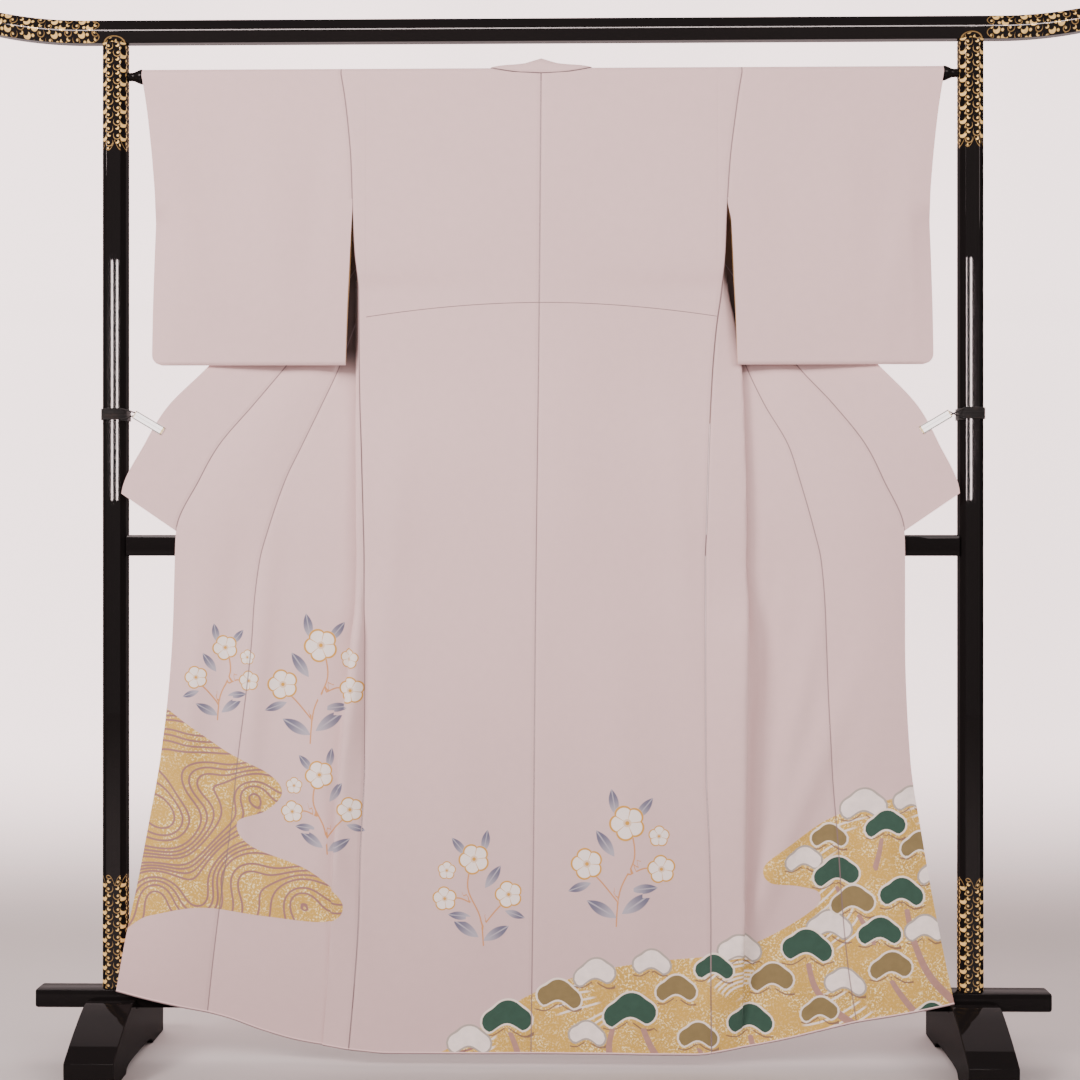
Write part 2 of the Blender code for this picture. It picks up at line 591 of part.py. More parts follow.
def turned(name, profile, mat, sides=20):
    """A turned piece on the rod's axis, from its profile as (x, radius) going all round it."""
    points, faces = [], []
    for x, radius in profile:
        for k in range(sides):
            turn = 2 * math.pi * k / sides
            points.append((x, radius * math.cos(turn), ROD_HEIGHT + radius * math.sin(turn)))
    count = len(profile)
    for i in range(count - 1):
        for k in range(sides):
            n = (k + 1) % sides
            faces.append((i * sides + k, i * sides + n, (i + 1) * sides + n, (i + 1) * sides + k))
    faces.append(tuple(range(sides))[::-1])
    faces.append(tuple(range((count - 1) * sides, count * sides)))
    return add_solid(name, points, faces, mat)


def rod_cup(side, mat):
    """A trumpet-shaped bracket on the post, with a socket that the rod's end lies in."""
    sign = 1 if side == "right" else -1
    post_face = POST_X - POST_HALF - SEAM
    socket = ROD_RADIUS + SEAM
    profile = [(post_face, CUP_NECK), *CUP_FLARE, (CUP_MOUTH, CUP_RADIUS), (CUP_MOUTH, socket),
               (ROD_HALF + SEAM, socket)]
    return turned("rod_cup_" + side, [(sign * x, radius) for x, radius in profile], mat)


def collar_frame(grid, side):
    """Where the clip's jaws meet the collar's free edge: a point, the way out, and the normal."""
    sign = 1 if side == "right" else -1
    goal = np.array([sign * CLIP_PLACE[0], CLIP_PLACE[1]])
    edge = grid[:, -1, :]
    i = int(np.argmin(np.linalg.norm(edge[:, [0, 2]] - goal, axis=1)))
    i += 1 if (goal[1] > edge[i, 2]) == (edge[i + 1, 2] > edge[i, 2]) else 0
    share = (goal[1] - edge[i - 1, 2]) / (edge[i, 2] - edge[i - 1, 2])
    point = edge[i - 1] + (edge[i] - edge[i - 1]) * share
    inside = grid[i - 1, -2] + (grid[i, -2] - grid[i - 1, -2]) * share
    normal = np.cross(inside - point, edge[i] - edge[i - 1])
    normal /= np.linalg.norm(normal)
    aim = np.array([sign * CLIP_AIM[0], 0.0, CLIP_AIM[1]])
    aim -= normal * np.dot(aim, normal)
    aim /= np.linalg.norm(aim)
    return point, aim, normal


def clip(side, grid, mat):
    """A sprung bar whose two jaws take the collar's edge between them."""
    edge, aim, normal = collar_frame(grid, side)
    across = np.cross(normal, aim)
    slot = COLLAR_CLOTH / 2 + JAW_ROOM
    outer = CLIP_LENGTH - CLIP_REACH
    outline = [(outer, -CLIP_HALF), (outer, CLIP_HALF), (-CLIP_REACH, JAW_HALF), (-CLIP_REACH, slot),
               (JAW_ROOT, slot), (JAW_ROOT, -slot), (-CLIP_REACH, -slot), (-CLIP_REACH, -JAW_HALF)]
    sections = [[edge + aim * a + normal * n + across * w for a, n in outline]
                for w in (-CLIP_WIDTH / 2, CLIP_WIDTH / 2)]
    loft("clip_" + side, sections, mat)
    return edge + aim * (outer + TIE_RADIUS)


def tube(name, path, radius, mat, sides=8):
    """A round cord along a path, its ends flat."""
    path = np.asarray(path, dtype=float)
    ahead = np.gradient(path, axis=0)
    ahead /= np.linalg.norm(ahead, axis=1, keepdims=True)
    normal = np.cross(ahead[0], (0.0, 0.0, 1.0))
    sections = []
    for point, way in zip(path, ahead):
        normal = normal - way * np.dot(normal, way)
        normal /= np.linalg.norm(normal)
        side = np.cross(way, normal)
        sections.append([point + radius * (math.cos(t) * normal + math.sin(t) * side)
                         for t in np.linspace(0.0, 2 * math.pi, sides, endpoint=False)])
    return loft(name, sections, mat)


def tie(side, start, mat):
    """A cord from the clip's end, wound down round the post."""
    sign = 1 if side == "right" else -1
    reach = POST_HALF + SEAM + TIE_RADIUS
    cut = reach - (POST_HALF - POST_CHAMFER)
    outline = chamfered(reach, reach, cut * TIE_CUT)
    outline = [(-sign * x, y) for x, y in outline]
    total = int(TIE_TURNS * len(outline))
    path = [start]
    for k in range(total + 1):
        x, y = outline[-1 - k % len(outline)]
        path.append((sign * POST_X + x, y, TIE_HEIGHT - TIE_DROP * k / len(outline)))
    return tube("tie_" + side, path, TIE_RADIUS, mat)


def build():
    clear_scene()
    silk = material("silk", (0.62, 0.55, 0.55), 0.75)
    collar_silk = material("collar_silk", (0.64, 0.57, 0.57), 0.75)
    lacquer = material("lacquer", (0.012, 0.011, 0.011), 0.22)
    plastic = material("clip_plastic", (0.85, 0.86, 0.86), 0.40)
    cord = material("tie_cord", (0.02, 0.02, 0.02), 0.80)

    grid = collar_grid()
    cloth_wall("collar", grid, COLLAR_CLOTH, collar_silk)
    top_rail(lacquer)
    straight_rail("mid_rail", POST_X - POST_HALF - SEAM, MID_RAIL, MID_RAIL_DEPTH, lacquer)
    straight_rail("base_rail", BASE_RAIL_HALF, BASE_RAIL, BASE_RAIL_DEPTH, lacquer)
    turned("rod", [(-ROD_HALF, ROD_RADIUS), (ROD_HALF, ROD_RADIUS)], lacquer)
    for side in ("left", "right"):
        body_panel(side, silk)
        okumi_panel(side, silk)
        sleeve(side, silk)
        post(side, lacquer)
        foot(side, lacquer)
        rod_cup(side, lacquer)
        tie(side, clip(side, grid, plastic), cord)


build()
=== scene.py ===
# %% [markdown]
# A formal coloured kimono hangs on a black lacquered stand, its back to us and both fronts folded
# out to the sides. The solids of the kimono and its stand come in first, as the fixed frame that
# everything here is built around. The dressed model has to stay the size of the solids.

# %% Frame
import json
import math

import bmesh
import bpy
import numpy as np
from mathutils import Matrix, Vector

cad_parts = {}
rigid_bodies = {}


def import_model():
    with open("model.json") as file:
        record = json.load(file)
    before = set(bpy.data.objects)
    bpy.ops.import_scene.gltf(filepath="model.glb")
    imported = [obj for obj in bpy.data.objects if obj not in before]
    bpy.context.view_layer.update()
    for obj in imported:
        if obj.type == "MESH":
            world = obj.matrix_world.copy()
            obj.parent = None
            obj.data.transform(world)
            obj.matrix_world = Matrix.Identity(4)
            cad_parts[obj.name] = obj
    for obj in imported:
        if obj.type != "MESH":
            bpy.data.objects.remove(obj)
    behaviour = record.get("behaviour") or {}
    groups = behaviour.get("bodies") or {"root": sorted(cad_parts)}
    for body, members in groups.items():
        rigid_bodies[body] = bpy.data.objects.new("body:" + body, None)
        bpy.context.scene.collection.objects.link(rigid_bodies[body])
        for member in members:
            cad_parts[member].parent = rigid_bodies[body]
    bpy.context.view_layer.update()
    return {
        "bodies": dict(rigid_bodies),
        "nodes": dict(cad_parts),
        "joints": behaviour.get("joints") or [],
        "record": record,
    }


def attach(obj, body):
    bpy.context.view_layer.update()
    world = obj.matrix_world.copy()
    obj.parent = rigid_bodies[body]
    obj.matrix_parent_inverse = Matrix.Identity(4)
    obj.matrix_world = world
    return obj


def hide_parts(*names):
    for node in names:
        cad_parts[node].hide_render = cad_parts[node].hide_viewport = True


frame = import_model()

# %% [markdown]
# The photograph was taken level with the kimono's waist and a touch to the right of its middle, from
# three metres away. A camera is a location, a direction and a lens: here the lens is 60 mm on a film
# 36 mm wide, so a metre in the plane of the cloth fills 600 of the picture's 1080 pixels.

# %% Camera
CAMERA_PLACE = Vector((0.056, -3.0, 0.868))
CAMERA_AIM = Vector((-0.002, 0.0, 0.868))
LENS_MM = 60.0

camera_data = bpy.data.cameras.new("camera")
camera_data.lens = LENS_MM
camera_data.sensor_width = 36.0
camera = bpy.data.objects.new("camera", camera_data)
camera.location = CAMERA_PLACE
camera.rotation_mode = "QUATERNION"
camera.rotation_quaternion = (CAMERA_AIM - CAMERA_PLACE).to_track_quat("-Z", "Y")
bpy.context.scene.collection.objects.link(camera)
bpy.context.scene.camera = camera

# %% [markdown]
# Shader maths reads badly as a long list of nodes. A small class that wraps a socket lets us write
# `1 - mask` or `a * b` and adds the Math nodes itself. Everything else is added by one method, which
# takes a node's type, its settings, and what goes into its sockets.

# %% Shader helper
class Value:
    """A number that comes out of a node's socket, for use in Python sums."""

    def __init__(self, finish, socket):
        self.finish = finish
        self.socket = socket

    def sum(self, operation, *others):
        return self.finish.math(operation, self, *others)

    def __add__(self, other):
        return self.sum("ADD", other)

    def __sub__(self, other):
        return self.sum("SUBTRACT", other)

    def __rsub__(self, other):
        return self.finish.math("SUBTRACT", other, self)

    def __mul__(self, other):
        return self.sum("MULTIPLY", other)

    def __truediv__(self, other):
        return self.sum("DIVIDE", other)

    def __abs__(self):
        return self.sum("ABSOLUTE")

    __radd__ = __add__
    __rmul__ = __mul__

    def above(self, limit):
        return self.sum("GREATER_THAN", limit)

    def below(self, limit):
        return self.sum("LESS_THAN", limit)

    def at_least(self, other):
        return self.sum("MAXIMUM", other)

    def step(self, low, high):
        """0 up to low, 1 from high, and a smooth rise between them."""
        return Value(self.finish, self.finish.node(
            "ShaderNodeMapRange", {"interpolation_type": "SMOOTHSTEP"},
            {0: self, 1: low, 2: high, 3: 0.0, 4: 1.0}).outputs[0])


class Finish:
    """One material, and the methods that add nodes to it."""

    def __init__(self, name):
        self.material = bpy.data.materials.new(name)
        self.material.use_nodes = True
        self.tree = self.material.node_tree
        self.shader = self.tree.nodes["Principled BSDF"]

    def node(self, kind, settings=None, inputs=None):
        made = self.tree.nodes.new(kind)
        for name, value in (settings or {}).items():
            setattr(made, name, value)
        for name, value in (inputs or {}).items():
            self.feed(made.inputs[name], value)
        return made

    def feed(self, socket, value):
        if isinstance(value, Value):
            value = value.socket
        if isinstance(value, bpy.types.NodeSocket):
            self.tree.links.new(value, socket)
        elif hasattr(socket.default_value, "__len__"):
            socket.default_value = (*value, 1.0)[:len(socket.default_value)]
        else:
            socket.default_value = value

    def math(self, operation, *values):
        made = self.node("ShaderNodeMath", {"operation": operation}, dict(enumerate(values)))
        return Value(self, made.outputs[0])

    def mix(self, share, first, second):
        """The first colour, and the second one where share is 1."""
        made = self.node("ShaderNodeMix", {"data_type": "RGBA"}, {0: share, 6: first, 7: second})
        return made.outputs[2]

    def places(self):
        """Where a point of the piece is, in metres."""
        return self.node("ShaderNodeTexCoord").outputs["Object"]

    def uv(self, name):
        made = self.node("ShaderNodeUVMap", {"uv_map": name}).outputs[0]
        split = self.node("ShaderNodeSeparateXYZ", inputs={0: made}).outputs
        return made, Value(self, split[0]), Value(self, split[1])

    def number(self, name):
        """A number that the mesh carries at each of its points."""
        return Value(self, self.node("ShaderNodeAttribute", {"attribute_name": name}).outputs["Fac"])

    def axes(self, vector):
        split = self.node("ShaderNodeSeparateXYZ", inputs={0: vector}).outputs
        return [Value(self, split[k]) for k in range(3)]

    def scaled(self, colour, amount):
        """The colour, made lighter or darker."""
        made = self.node("ShaderNodeVectorMath", {"operation": "SCALE"}, {0: colour, "Scale": amount})
        return made.outputs[0]

    def noise(self, vector, scale, detail=2.0, roughness=0.5, distortion=0.0):
        made = self.node("ShaderNodeTexNoise", inputs={
            "Vector": vector, "Scale": scale, "Detail": detail, "Roughness": roughness,
            "Distortion": distortion})
        return Value(self, made.outputs[0])

    def bump(self, height):
        """Relief from a height in metres."""
        return self.node("ShaderNodeBump", inputs={
            "Strength": 1.0, "Distance": 1.0, "Height": height}).outputs[0]

    def set(self, **sockets):
        """Sets the main shader's sockets, named in small letters with an underscore for a space."""
        for name, value in sockets.items():
            title = " ".join(word.capitalize() for word in name.split("_"))
            self.feed(self.shader.inputs[title.replace("Ior", "IOR")], value)
        return self.material


def from_srgb(red, green, blue):
    """A colour as a picture editor names it, from 0 to 255, in the shader's linear numbers."""
    def linear(part):
        part = part / 255
        return part / 12.92 if part <= 0.04045 else ((part + 0.055) / 1.055) ** 2.4
    return tuple(linear(part) for part in (red, green, blue))

# %% [markdown]
# The room is a pale floor that runs up into a pale wall behind, in one smooth bend, so no edge shows
# behind the stand. The wall is brighter than the floor: it is given painted light, a glow that stands
# in for a backdrop's own lamps, with painted shade of soft folds in it, so it glows a little where it
# stands behind the kimono. It is painted on its inner side alone, and lets the view through from
# outside, so that the back of the stand can be looked at too.
#
# The light is soft: one wide panel from the upper left, one from the upper right, and a dim sky. They
# stand far enough to the sides that the flat lacquered posts don't mirror them. What the posts do
# mirror is two pairs of slim tubes near the camera, as two thin bright lines down each post. Each tube
# is three lights of growing brightness and shrinking length, so the lines fade towards their ends.

# %% Room and light
def deselect_all():
    bpy.ops.object.select_all(action="DESELECT")


PAINT = from_srgb(214, 212, 210)
FLOOR_SHADE = 0.60
WALL_GLOW = 2.35
WALL_AT, BEND = 1.15, 0.55
ROOM_REACH, ROOM_TOP = 6.0, 5.0
BEND_STEPS = 12
ROSE_LIGHT = (1.0, 0.80, 0.81)
LAMP_COLOUR = (1.0, 0.83, 0.82)
LAMP_AIM = (0.0, 0.0, 1.45)
# Each tube's lengths, with their powers
TUBE_PARTS = [(0.80, 1.4), (0.66, 1.8), (0.50, 3.4)]
TUBE_PLACES = {"left": -1.475, "right": 1.354}
TUBE_IN_FRONT, TUBE_MIDDLE = -3.0, 1.40
TUBE_APART = 0.0085
TUBE_WIDTH = 0.0042
SKY_COLOUR = (1.0, 0.88, 0.87, 1.0)
SKY_STRENGTH = 0.24


def room_paint():
    finish = Finish("room_paint")
    x, y, z = finish.axes(finish.places())
    # Painted light: the wall glows in place of lamps on the backdrop, with painted shade of soft folds
    glow = z.step(0.02, 0.42) * (1 - abs(x).step(1.6, 3.4))
    glow_fold_shade = finish.noise(finish.node("ShaderNodeVectorMath", {"operation": "MULTIPLY"}, {
        0: finish.places(), 1: (1.0, 1.0, 0.05)}).outputs[0], 2.2, detail=1.0)
    glow = glow * (0.86 + glow_fold_shade * 0.28) * WALL_GLOW
    shade = FLOOR_SHADE + z.step(0.0, 0.30) * (1 - FLOOR_SHADE)
    outside = Value(finish, finish.node("ShaderNodeNewGeometry").outputs["Backfacing"])
    finish.set(base_color=finish.scaled(PAINT, shade), roughness=0.8, emission_strength=1.0,
               emission_color=finish.scaled(ROSE_LIGHT, glow), alpha=1 - outside)
    return finish.material


def add_room():
    """A floor bent up into a back wall: one edge, extruded along the room's side view."""
    profile = [(-ROOM_REACH, 0.0), (WALL_AT - BEND, 0.0)]
    for k in range(1, BEND_STEPS):
        turn = math.radians(90 * k / BEND_STEPS)
        profile.append((WALL_AT - BEND + BEND * math.sin(turn), BEND - BEND * math.cos(turn)))
    profile += [(WALL_AT, BEND), (WALL_AT, ROOM_TOP)]
    points = [(x, y, z) for x in (-ROOM_REACH, ROOM_REACH) for y, z in profile]
    count = len(profile)
    faces = [(i + 1, i, count + i, count + i + 1) for i in range(count - 1)]
    mesh = bpy.data.meshes.new("room")
    mesh.from_pydata(points, [], faces)
    mesh.shade_smooth()
    mesh.materials.append(room_paint())
    room = bpy.data.objects.new("room", mesh)
    bpy.context.scene.collection.objects.link(room)


def add_light(name, place, aim, size, power):
    lamp = bpy.data.lights.new(name, "AREA")
    lamp.shape = "RECTANGLE"
    lamp.size, lamp.size_y = size
    lamp.energy = power
    lamp.color = LAMP_COLOUR
    made = bpy.data.objects.new(name, lamp)
    made.location = place
    made.rotation_mode = "QUATERNION"
    made.rotation_quaternion = (Vector(aim) - Vector(place)).to_track_quat("-Z", "Y")
    bpy.context.scene.collection.objects.link(made)


add_room()
add_light("key", (-3.2, -2.9, 3.0), LAMP_AIM, (1.5, 1.5), 242.0)
add_light("fill", (3.2, -2.9, 2.8), LAMP_AIM, (1.5, 1.5), 100.0)
# The strip is what the flat along the top rail mirrors
add_light("strip", (0.0, -3.1, 2.59), (0.0, 0.0, 1.70), (3.8, 0.05), 50.0)

for side, x in TUBE_PLACES.items():
    for apart in (-TUBE_APART, TUBE_APART):
        for length, power in TUBE_PARTS:
            add_light("tube_" + side, (x + apart, TUBE_IN_FRONT, TUBE_MIDDLE),
                      (x + apart, 0.0, TUBE_MIDDLE), (TUBE_WIDTH, length), power)

sky = bpy.data.worlds.new("sky")
sky.use_nodes = True
sky.node_tree.nodes["Background"].inputs[0].default_value = SKY_COLOUR
sky.node_tree.nodes["Background"].inputs[1].default_value = SKY_STRENGTH
bpy.context.scene.world = sky

# %% [markdown]
# The garment is sewn from straight widths of silk, and each width hangs on one smooth surface. We
# describe such a surface by a few rows of numbers from shoulder to hem, and read between the rows on
# a smooth curve that never swings past them.
#
# The rows say where the seams lie and how deep each layer stands, in metres. They are the driving
# sizes of the solids too, so each sheet made here lies just where its solid is, only finer. All
# heights are measured from one level line a little under the floor, and every finished piece is set
# down by that much at the end.

# %% Curves through short tables
class Table:
    """A short table with named columns, read on a smooth curve through its rows."""

    def __init__(self, columns, rows):
        self.columns = columns
        self.rows = np.array(rows, dtype=float)

    def __call__(self, name, where):
        return smooth_between(self.rows[:, 0], self.rows[:, self.columns.index(name)], where)


def smooth_between(xs, ys, where):
    """Monotone cubic through the points."""
    where = min(max(where, xs[0]), xs[-1])
    step = np.diff(xs)
    slope = np.diff(ys) / step
    tangent = np.empty(len(xs))
    tangent[0], tangent[-1] = slope[0], slope[-1]
    for i in range(1, len(xs) - 1):
        low, high = slope[i - 1], slope[i]
        tangent[i] = 2 * low * high / (low + high) if low * high > 0 else 0.0
    i = int(min(max(np.searchsorted(xs, where) - 1, 0), len(step) - 1))
    t = (where - xs[i]) / step[i]
    return float((2 * t**3 - 3 * t**2 + 1) * ys[i] + (t**3 - 2 * t**2 + t) * step[i] * tangent[i]
                 + (3 * t**2 - 2 * t**3) * ys[i + 1] + (t**3 - t**2) * step[i] * tangent[i + 1])


# %% Sizes of the garment
FLOOR = 0.030
CLOTH = 0.0015
COLLAR_CLOTH = 0.0025
SEAM = 0.0003
STITCH = 0.00005
BACK_WIDTH = 0.300
FRONT_WIDTH = 0.240
OKUMI_WIDTH = 0.150
COLLAR_WIDTH = 0.110
SLEEVE_WIDTH = 0.330
ARMHOLE_END = 1.461
CUFF_END = 1.455
OKUMI_TIP = 1.440
COLLAR_END = 0.913
HEM = 0.055
HEM_LIFT_TOP = 0.60
NECK_HALF = 0.085
SLEEVE_BOTTOM = 1.190
SLEEVE_CORNER = 0.017
ROD_HEIGHT = 1.673
DRAPE = 0.0108
SIDES = {"right": 1, "left": -1}

# Each half of the front, as distances outward from the middle:
#   side    side seam, and above it the sleeve seam
#   out     outer fold of the pleat that turns the panel back behind itself
#   edge    okumi seam, and above the okumi's tip the collar seam
#   outer   front edge of the okumi, and above the collar's end the collar seam
#   depth   how far the pleat stands from its front leg to its back leg
FRONT_COLUMNS = ("z", "side", "out", "edge", "outer", "depth")
FRONT = {
    "right": Table(FRONT_COLUMNS, [
        (0.055, 0.280, 0.330, 0.519, 0.679, 0.040),
        (0.160, 0.279, 0.332, 0.505, 0.661, 0.040),
        (0.270, 0.279, 0.334, 0.496, 0.643, 0.040),
        (0.380, 0.277, 0.336, 0.489, 0.627, 0.040),
        (0.530, 0.271, 0.338, 0.478, 0.608, 0.040),
        (0.735, 0.270, 0.341, 0.470, 0.600, 0.033),
        (0.790, 0.270, 0.341, 0.468, 0.600, 0.022),
        (0.865, 0.270, 0.337, 0.462, 0.600, 0.018),
        (0.913, 0.272, 0.338, 0.451, 0.599, 0.018),
        (1.000, 0.275, 0.338, 0.427, 0.564, 0.018),
        (1.052, 0.277, 0.337, 0.411, 0.539, 0.018),
        (1.125, 0.281, 0.336, 0.371, 0.484, 0.018),
        (1.185, 0.285, 0.334, 0.344, 0.430, 0.018),
        (1.250, 0.291, 0.326, 0.320, 0.382, 0.018),
        (1.315, 0.300, 0.312, 0.293, 0.338, 0.018),
        (1.380, 0.306, 0.306, 0.262, 0.293, 0.018),
        (1.440, 0.308, 0.308, 0.230, 0.236, 0.018),
        (1.530, 0.3135, 0.3135, 0.165, 0.165, 0.024),
        (1.600, 0.3220, 0.3220, 0.092, 0.092, 0.020),
        (1.640, 0.3275, 0.3275, 0.0845, 0.0845, 0.000),
        (1.673, 0.3330, 0.3330, 0.0850, 0.0850, 0.000)]),
    "left": Table(FRONT_COLUMNS, [
        (0.055, 0.316, 0.360, 0.552, 0.704, 0.040),
        (0.160, 0.307, 0.352, 0.542, 0.689, 0.040),
        (0.270, 0.2995, 0.346, 0.530, 0.670, 0.040),
        (0.380, 0.297, 0.340, 0.516, 0.653, 0.040),
        (0.530, 0.290, 0.330, 0.501, 0.631, 0.040),
        (0.735, 0.290, 0.312, 0.478, 0.612, 0.033),
        (0.790, 0.291, 0.306, 0.475, 0.610, 0.022),
        (0.865, 0.291, 0.3045, 0.466, 0.608, 0.018),
        (0.913, 0.292, 0.305, 0.453, 0.606, 0.018),
        (1.000, 0.295, 0.306, 0.424, 0.567, 0.018),
        (1.052, 0.297, 0.307, 0.400, 0.539, 0.018),
        (1.125, 0.301, 0.309, 0.367, 0.480, 0.018),
        (1.185, 0.303, 0.310, 0.341, 0.432, 0.018),
        (1.250, 0.304, 0.311, 0.317, 0.382, 0.018),
        (1.315, 0.305, 0.311, 0.292, 0.338, 0.018),
        (1.380, 0.311, 0.311, 0.262, 0.293, 0.018),
        (1.440, 0.3135, 0.3135, 0.230, 0.236, 0.018),
        (1.530, 0.3165, 0.3165, 0.165, 0.165, 0.024),
        (1.600, 0.3225, 0.3225, 0.092, 0.092, 0.020),
        (1.640, 0.3275, 0.3275, 0.0845, 0.0845, 0.000),
        (1.673, 0.3330, 0.3330, 0.0850, 0.0850, 0.000)]),
}
# Room at the side seam, where the front turns back behind the seam
SIDE_GAP = 0.0004

# How far each layer stands from the rack's plane, towards -Y where it is negative:
#   back_mid    back panels at the centre seam       back_side    back panel at its side edge
#   front_side  front panel at its side edge         fold         middle leg of the pleat
#   edge, outer and collar                           okumi seam, front edge, collar's free edge
DEPTH = Table(("z", "back_mid", "back_side", "front_side", "fold", "edge", "outer", "collar"), [
    (0.055, -0.0420, -0.0420, -0.0420, -0.0320, -0.0300, -0.0300, -0.030),
    (0.160, -0.0420, -0.0420, -0.0420, -0.0360, -0.0310, -0.0290, -0.030),
    (0.270, -0.0420, -0.0420, -0.0420, -0.0380, -0.0310, -0.0280, -0.030),
    (0.380, -0.0420, -0.0420, -0.0420, -0.0400, -0.0300, -0.0270, -0.030),
    (0.530, -0.0420, -0.0420, -0.0420, -0.0430, -0.0290, -0.0250, -0.030),
    (0.735, -0.0415, -0.0410, -0.0410, -0.0380, -0.0260, -0.0230, -0.030),
    (0.865, -0.0400, -0.0385, -0.0385, -0.0295, -0.0230, -0.0230, -0.030),
    (0.913, -0.0390, -0.0385, -0.0385, -0.0295, -0.0225, -0.0230, -0.027),
    (1.000, -0.0345, -0.0330, -0.0330, -0.0230, -0.0170, -0.0190, -0.023),
    (1.052, -0.0300, -0.0270, -0.0270, -0.0160, -0.0100, -0.0130, -0.017),
    (1.125, -0.0210, -0.0140, -0.0140, -0.0010, 0.0050, 0.0000, 0.000),
    (1.185, -0.0145, -0.0060, -0.0060, 0.0108, 0.0175, 0.0120, 0.012),
    (1.250, -0.0115, -0.0020, -0.0020, 0.0150, 0.0230, 0.0210, 0.018),
    (1.315, -0.0108, 0.0000, 0.0000, 0.0150, 0.0235, 0.0230, 0.021),
    (1.345, -0.0106, -0.0055, 0.0065, 0.0135, 0.0225, 0.0225, 0.022),
    (1.380, -0.0108, -0.0085, 0.0095, 0.0120, 0.0210, 0.0210, 0.023),
    (1.440, -0.0108, -0.0108, 0.0108, 0.0108, 0.0198, 0.0198, 0.025),
    (1.530, -0.0108, -0.0108, 0.0108, 0.0108, 0.0228, 0.0228, 0.044),
    (1.600, -0.0108, -0.0108, 0.0108, 0.0108, 0.0208, 0.0208, 0.058),
    (1.640, -0.0108, -0.0108, 0.0108, 0.0108, 0.0108, 0.0108, 0.042),
    (1.673, -0.0108, -0.0108, 0.0108, 0.0108, 0.0108, 0.0108, 0.027)])

# The centre seam hangs a little to the left, and the hem rises outward on each side
CENTRE = Table(("z", "x"), [(0.055, -0.016), (0.38, -0.012), (0.735, -0.009), (1.0, -0.006),
                            (1.3, -0.003), (1.673, 0.0)])
HEM_LINE = Table(("out", "left", "right"), [
    (0.00, 0.0560, 0.0560), (0.25, 0.0550, 0.0550), (0.30, 0.0590, 0.0600), (0.35, 0.0645, 0.0680),
    (0.40, 0.0725, 0.0780), (0.46, 0.0890, 0.0925), (0.52, 0.1100, 0.1070), (0.60, 0.1290, 0.1230),
    (0.71, 0.1535, 0.1430)])

# Sleeve's outer edge, and its inner edge where it hangs free below the armhole
SLEEVE = Table(("z", "outer", "inner"), [
    (1.190, 0.650, 0.3260), (1.280, 0.6485, 0.3230), (1.370, 0.6460, 0.3185), (1.455, 0.6435, 0.3150),
    (1.520, 0.6475, 0.3170), (1.600, 0.6555, 0.3230), (1.640, 0.6610, 0.3280), (1.673, 0.6665, 0.3333)])

# The collar from its end up to the shoulder: where its free edge lies from its seam, and the room
# between the seam and the panel it is sewn to, outward and towards +Y
COLLAR = Table(("z", "out", "up", "room_out", "room_back"), [
    (0.913, 0.090, 0.062, 0.0001, 0.0), (1.000, 0.089, 0.062, 0.0001, 0.0),
    (1.052, 0.087, 0.062, 0.0001, 0.0), (1.125, 0.080, 0.060, 0.0001, 0.0),
    (1.185, 0.076, 0.056, 0.0001, 0.0), (1.315, 0.070, 0.050, 0.0001, 0.0),
    (1.440, 0.064, 0.046, 0.0001, 0.0), (1.500, 0.055, 0.036, 0.0004, 0.0),
    (1.550, 0.036, 0.018, 0.0008, 0.0008), (1.600, 0.002, -0.002, 0.0, 0.0014),
    (1.640, -0.026, -0.010, -0.0016, 0.0008), (1.673, -0.039, -0.020, -0.0010, 0.0004)])

# The collar across the neck, by the angle of its seam round the rod: the three points that shape
# its roll over the rod, each as how far outward, y and z
NECK = Table(("angle", "x1", "y1", "z1", "x2", "y2", "z2", "x3", "y3", "z3"), [
    (0.0, 0.0730, 0.0150, 1.6720, 0.0600, 0.0220, 1.6650, 0.0460, 0.0270, 1.6530),
    (45.0, 0.0740, 0.0135, 1.6820, 0.0560, 0.0215, 1.6760, 0.0400, 0.0225, 1.6570),
    (90.0, 0.0740, 0.0045, 1.6890, 0.0520, 0.0185, 1.6860, 0.0330, 0.0190, 1.6600),
    (135.0, 0.0630, -0.0070, 1.6920, 0.0430, 0.0140, 1.6940, 0.0255, 0.0168, 1.6635),
    (157.5, 0.0480, -0.0105, 1.6930, 0.0340, 0.0120, 1.6970, 0.0180, 0.0155, 1.6660),
    (172.0, 0.0300, -0.0114, 1.6960, 0.0200, 0.0110, 1.7000, 0.0100, 0.0150, 1.6675),
    (180.0, 0.0000, -0.0114, 1.7070, 0.0000, 0.0105, 1.7110, 0.0000, 0.0148, 1.6680)])

# %% [markdown]
# A front panel is folded like a letter Z: out from the side seam, back in behind itself, and out
# again to the okumi. A few corner points describe such a section, and a quadratic B-spline through
# them rounds each fold by itself. The points are then spread evenly along it, one every few
# millimetres, so the cloth keeps its width, and so does any pattern on it.

# %% Section across a front panel
def rounded(corners, per_corner=12):
    """Points along a quadratic B-spline on the corners."""
    corners = np.asarray(corners, dtype=float)
    points = []
    last = len(corners) - 2
    for i in range(1, len(corners) - 1):
        start = corners[0] if i == 1 else (corners[i - 1] + corners[i]) / 2
        end = corners[-1] if i == last else (corners[i] + corners[i + 1]) / 2
        for k in range(per_corner + (1 if i == last else 0)):
            t = k / per_corner
            points.append((1 - t)**2 * start + 2 * t * (1 - t) * corners[i] + t**2 * end)
    return np.array(points)


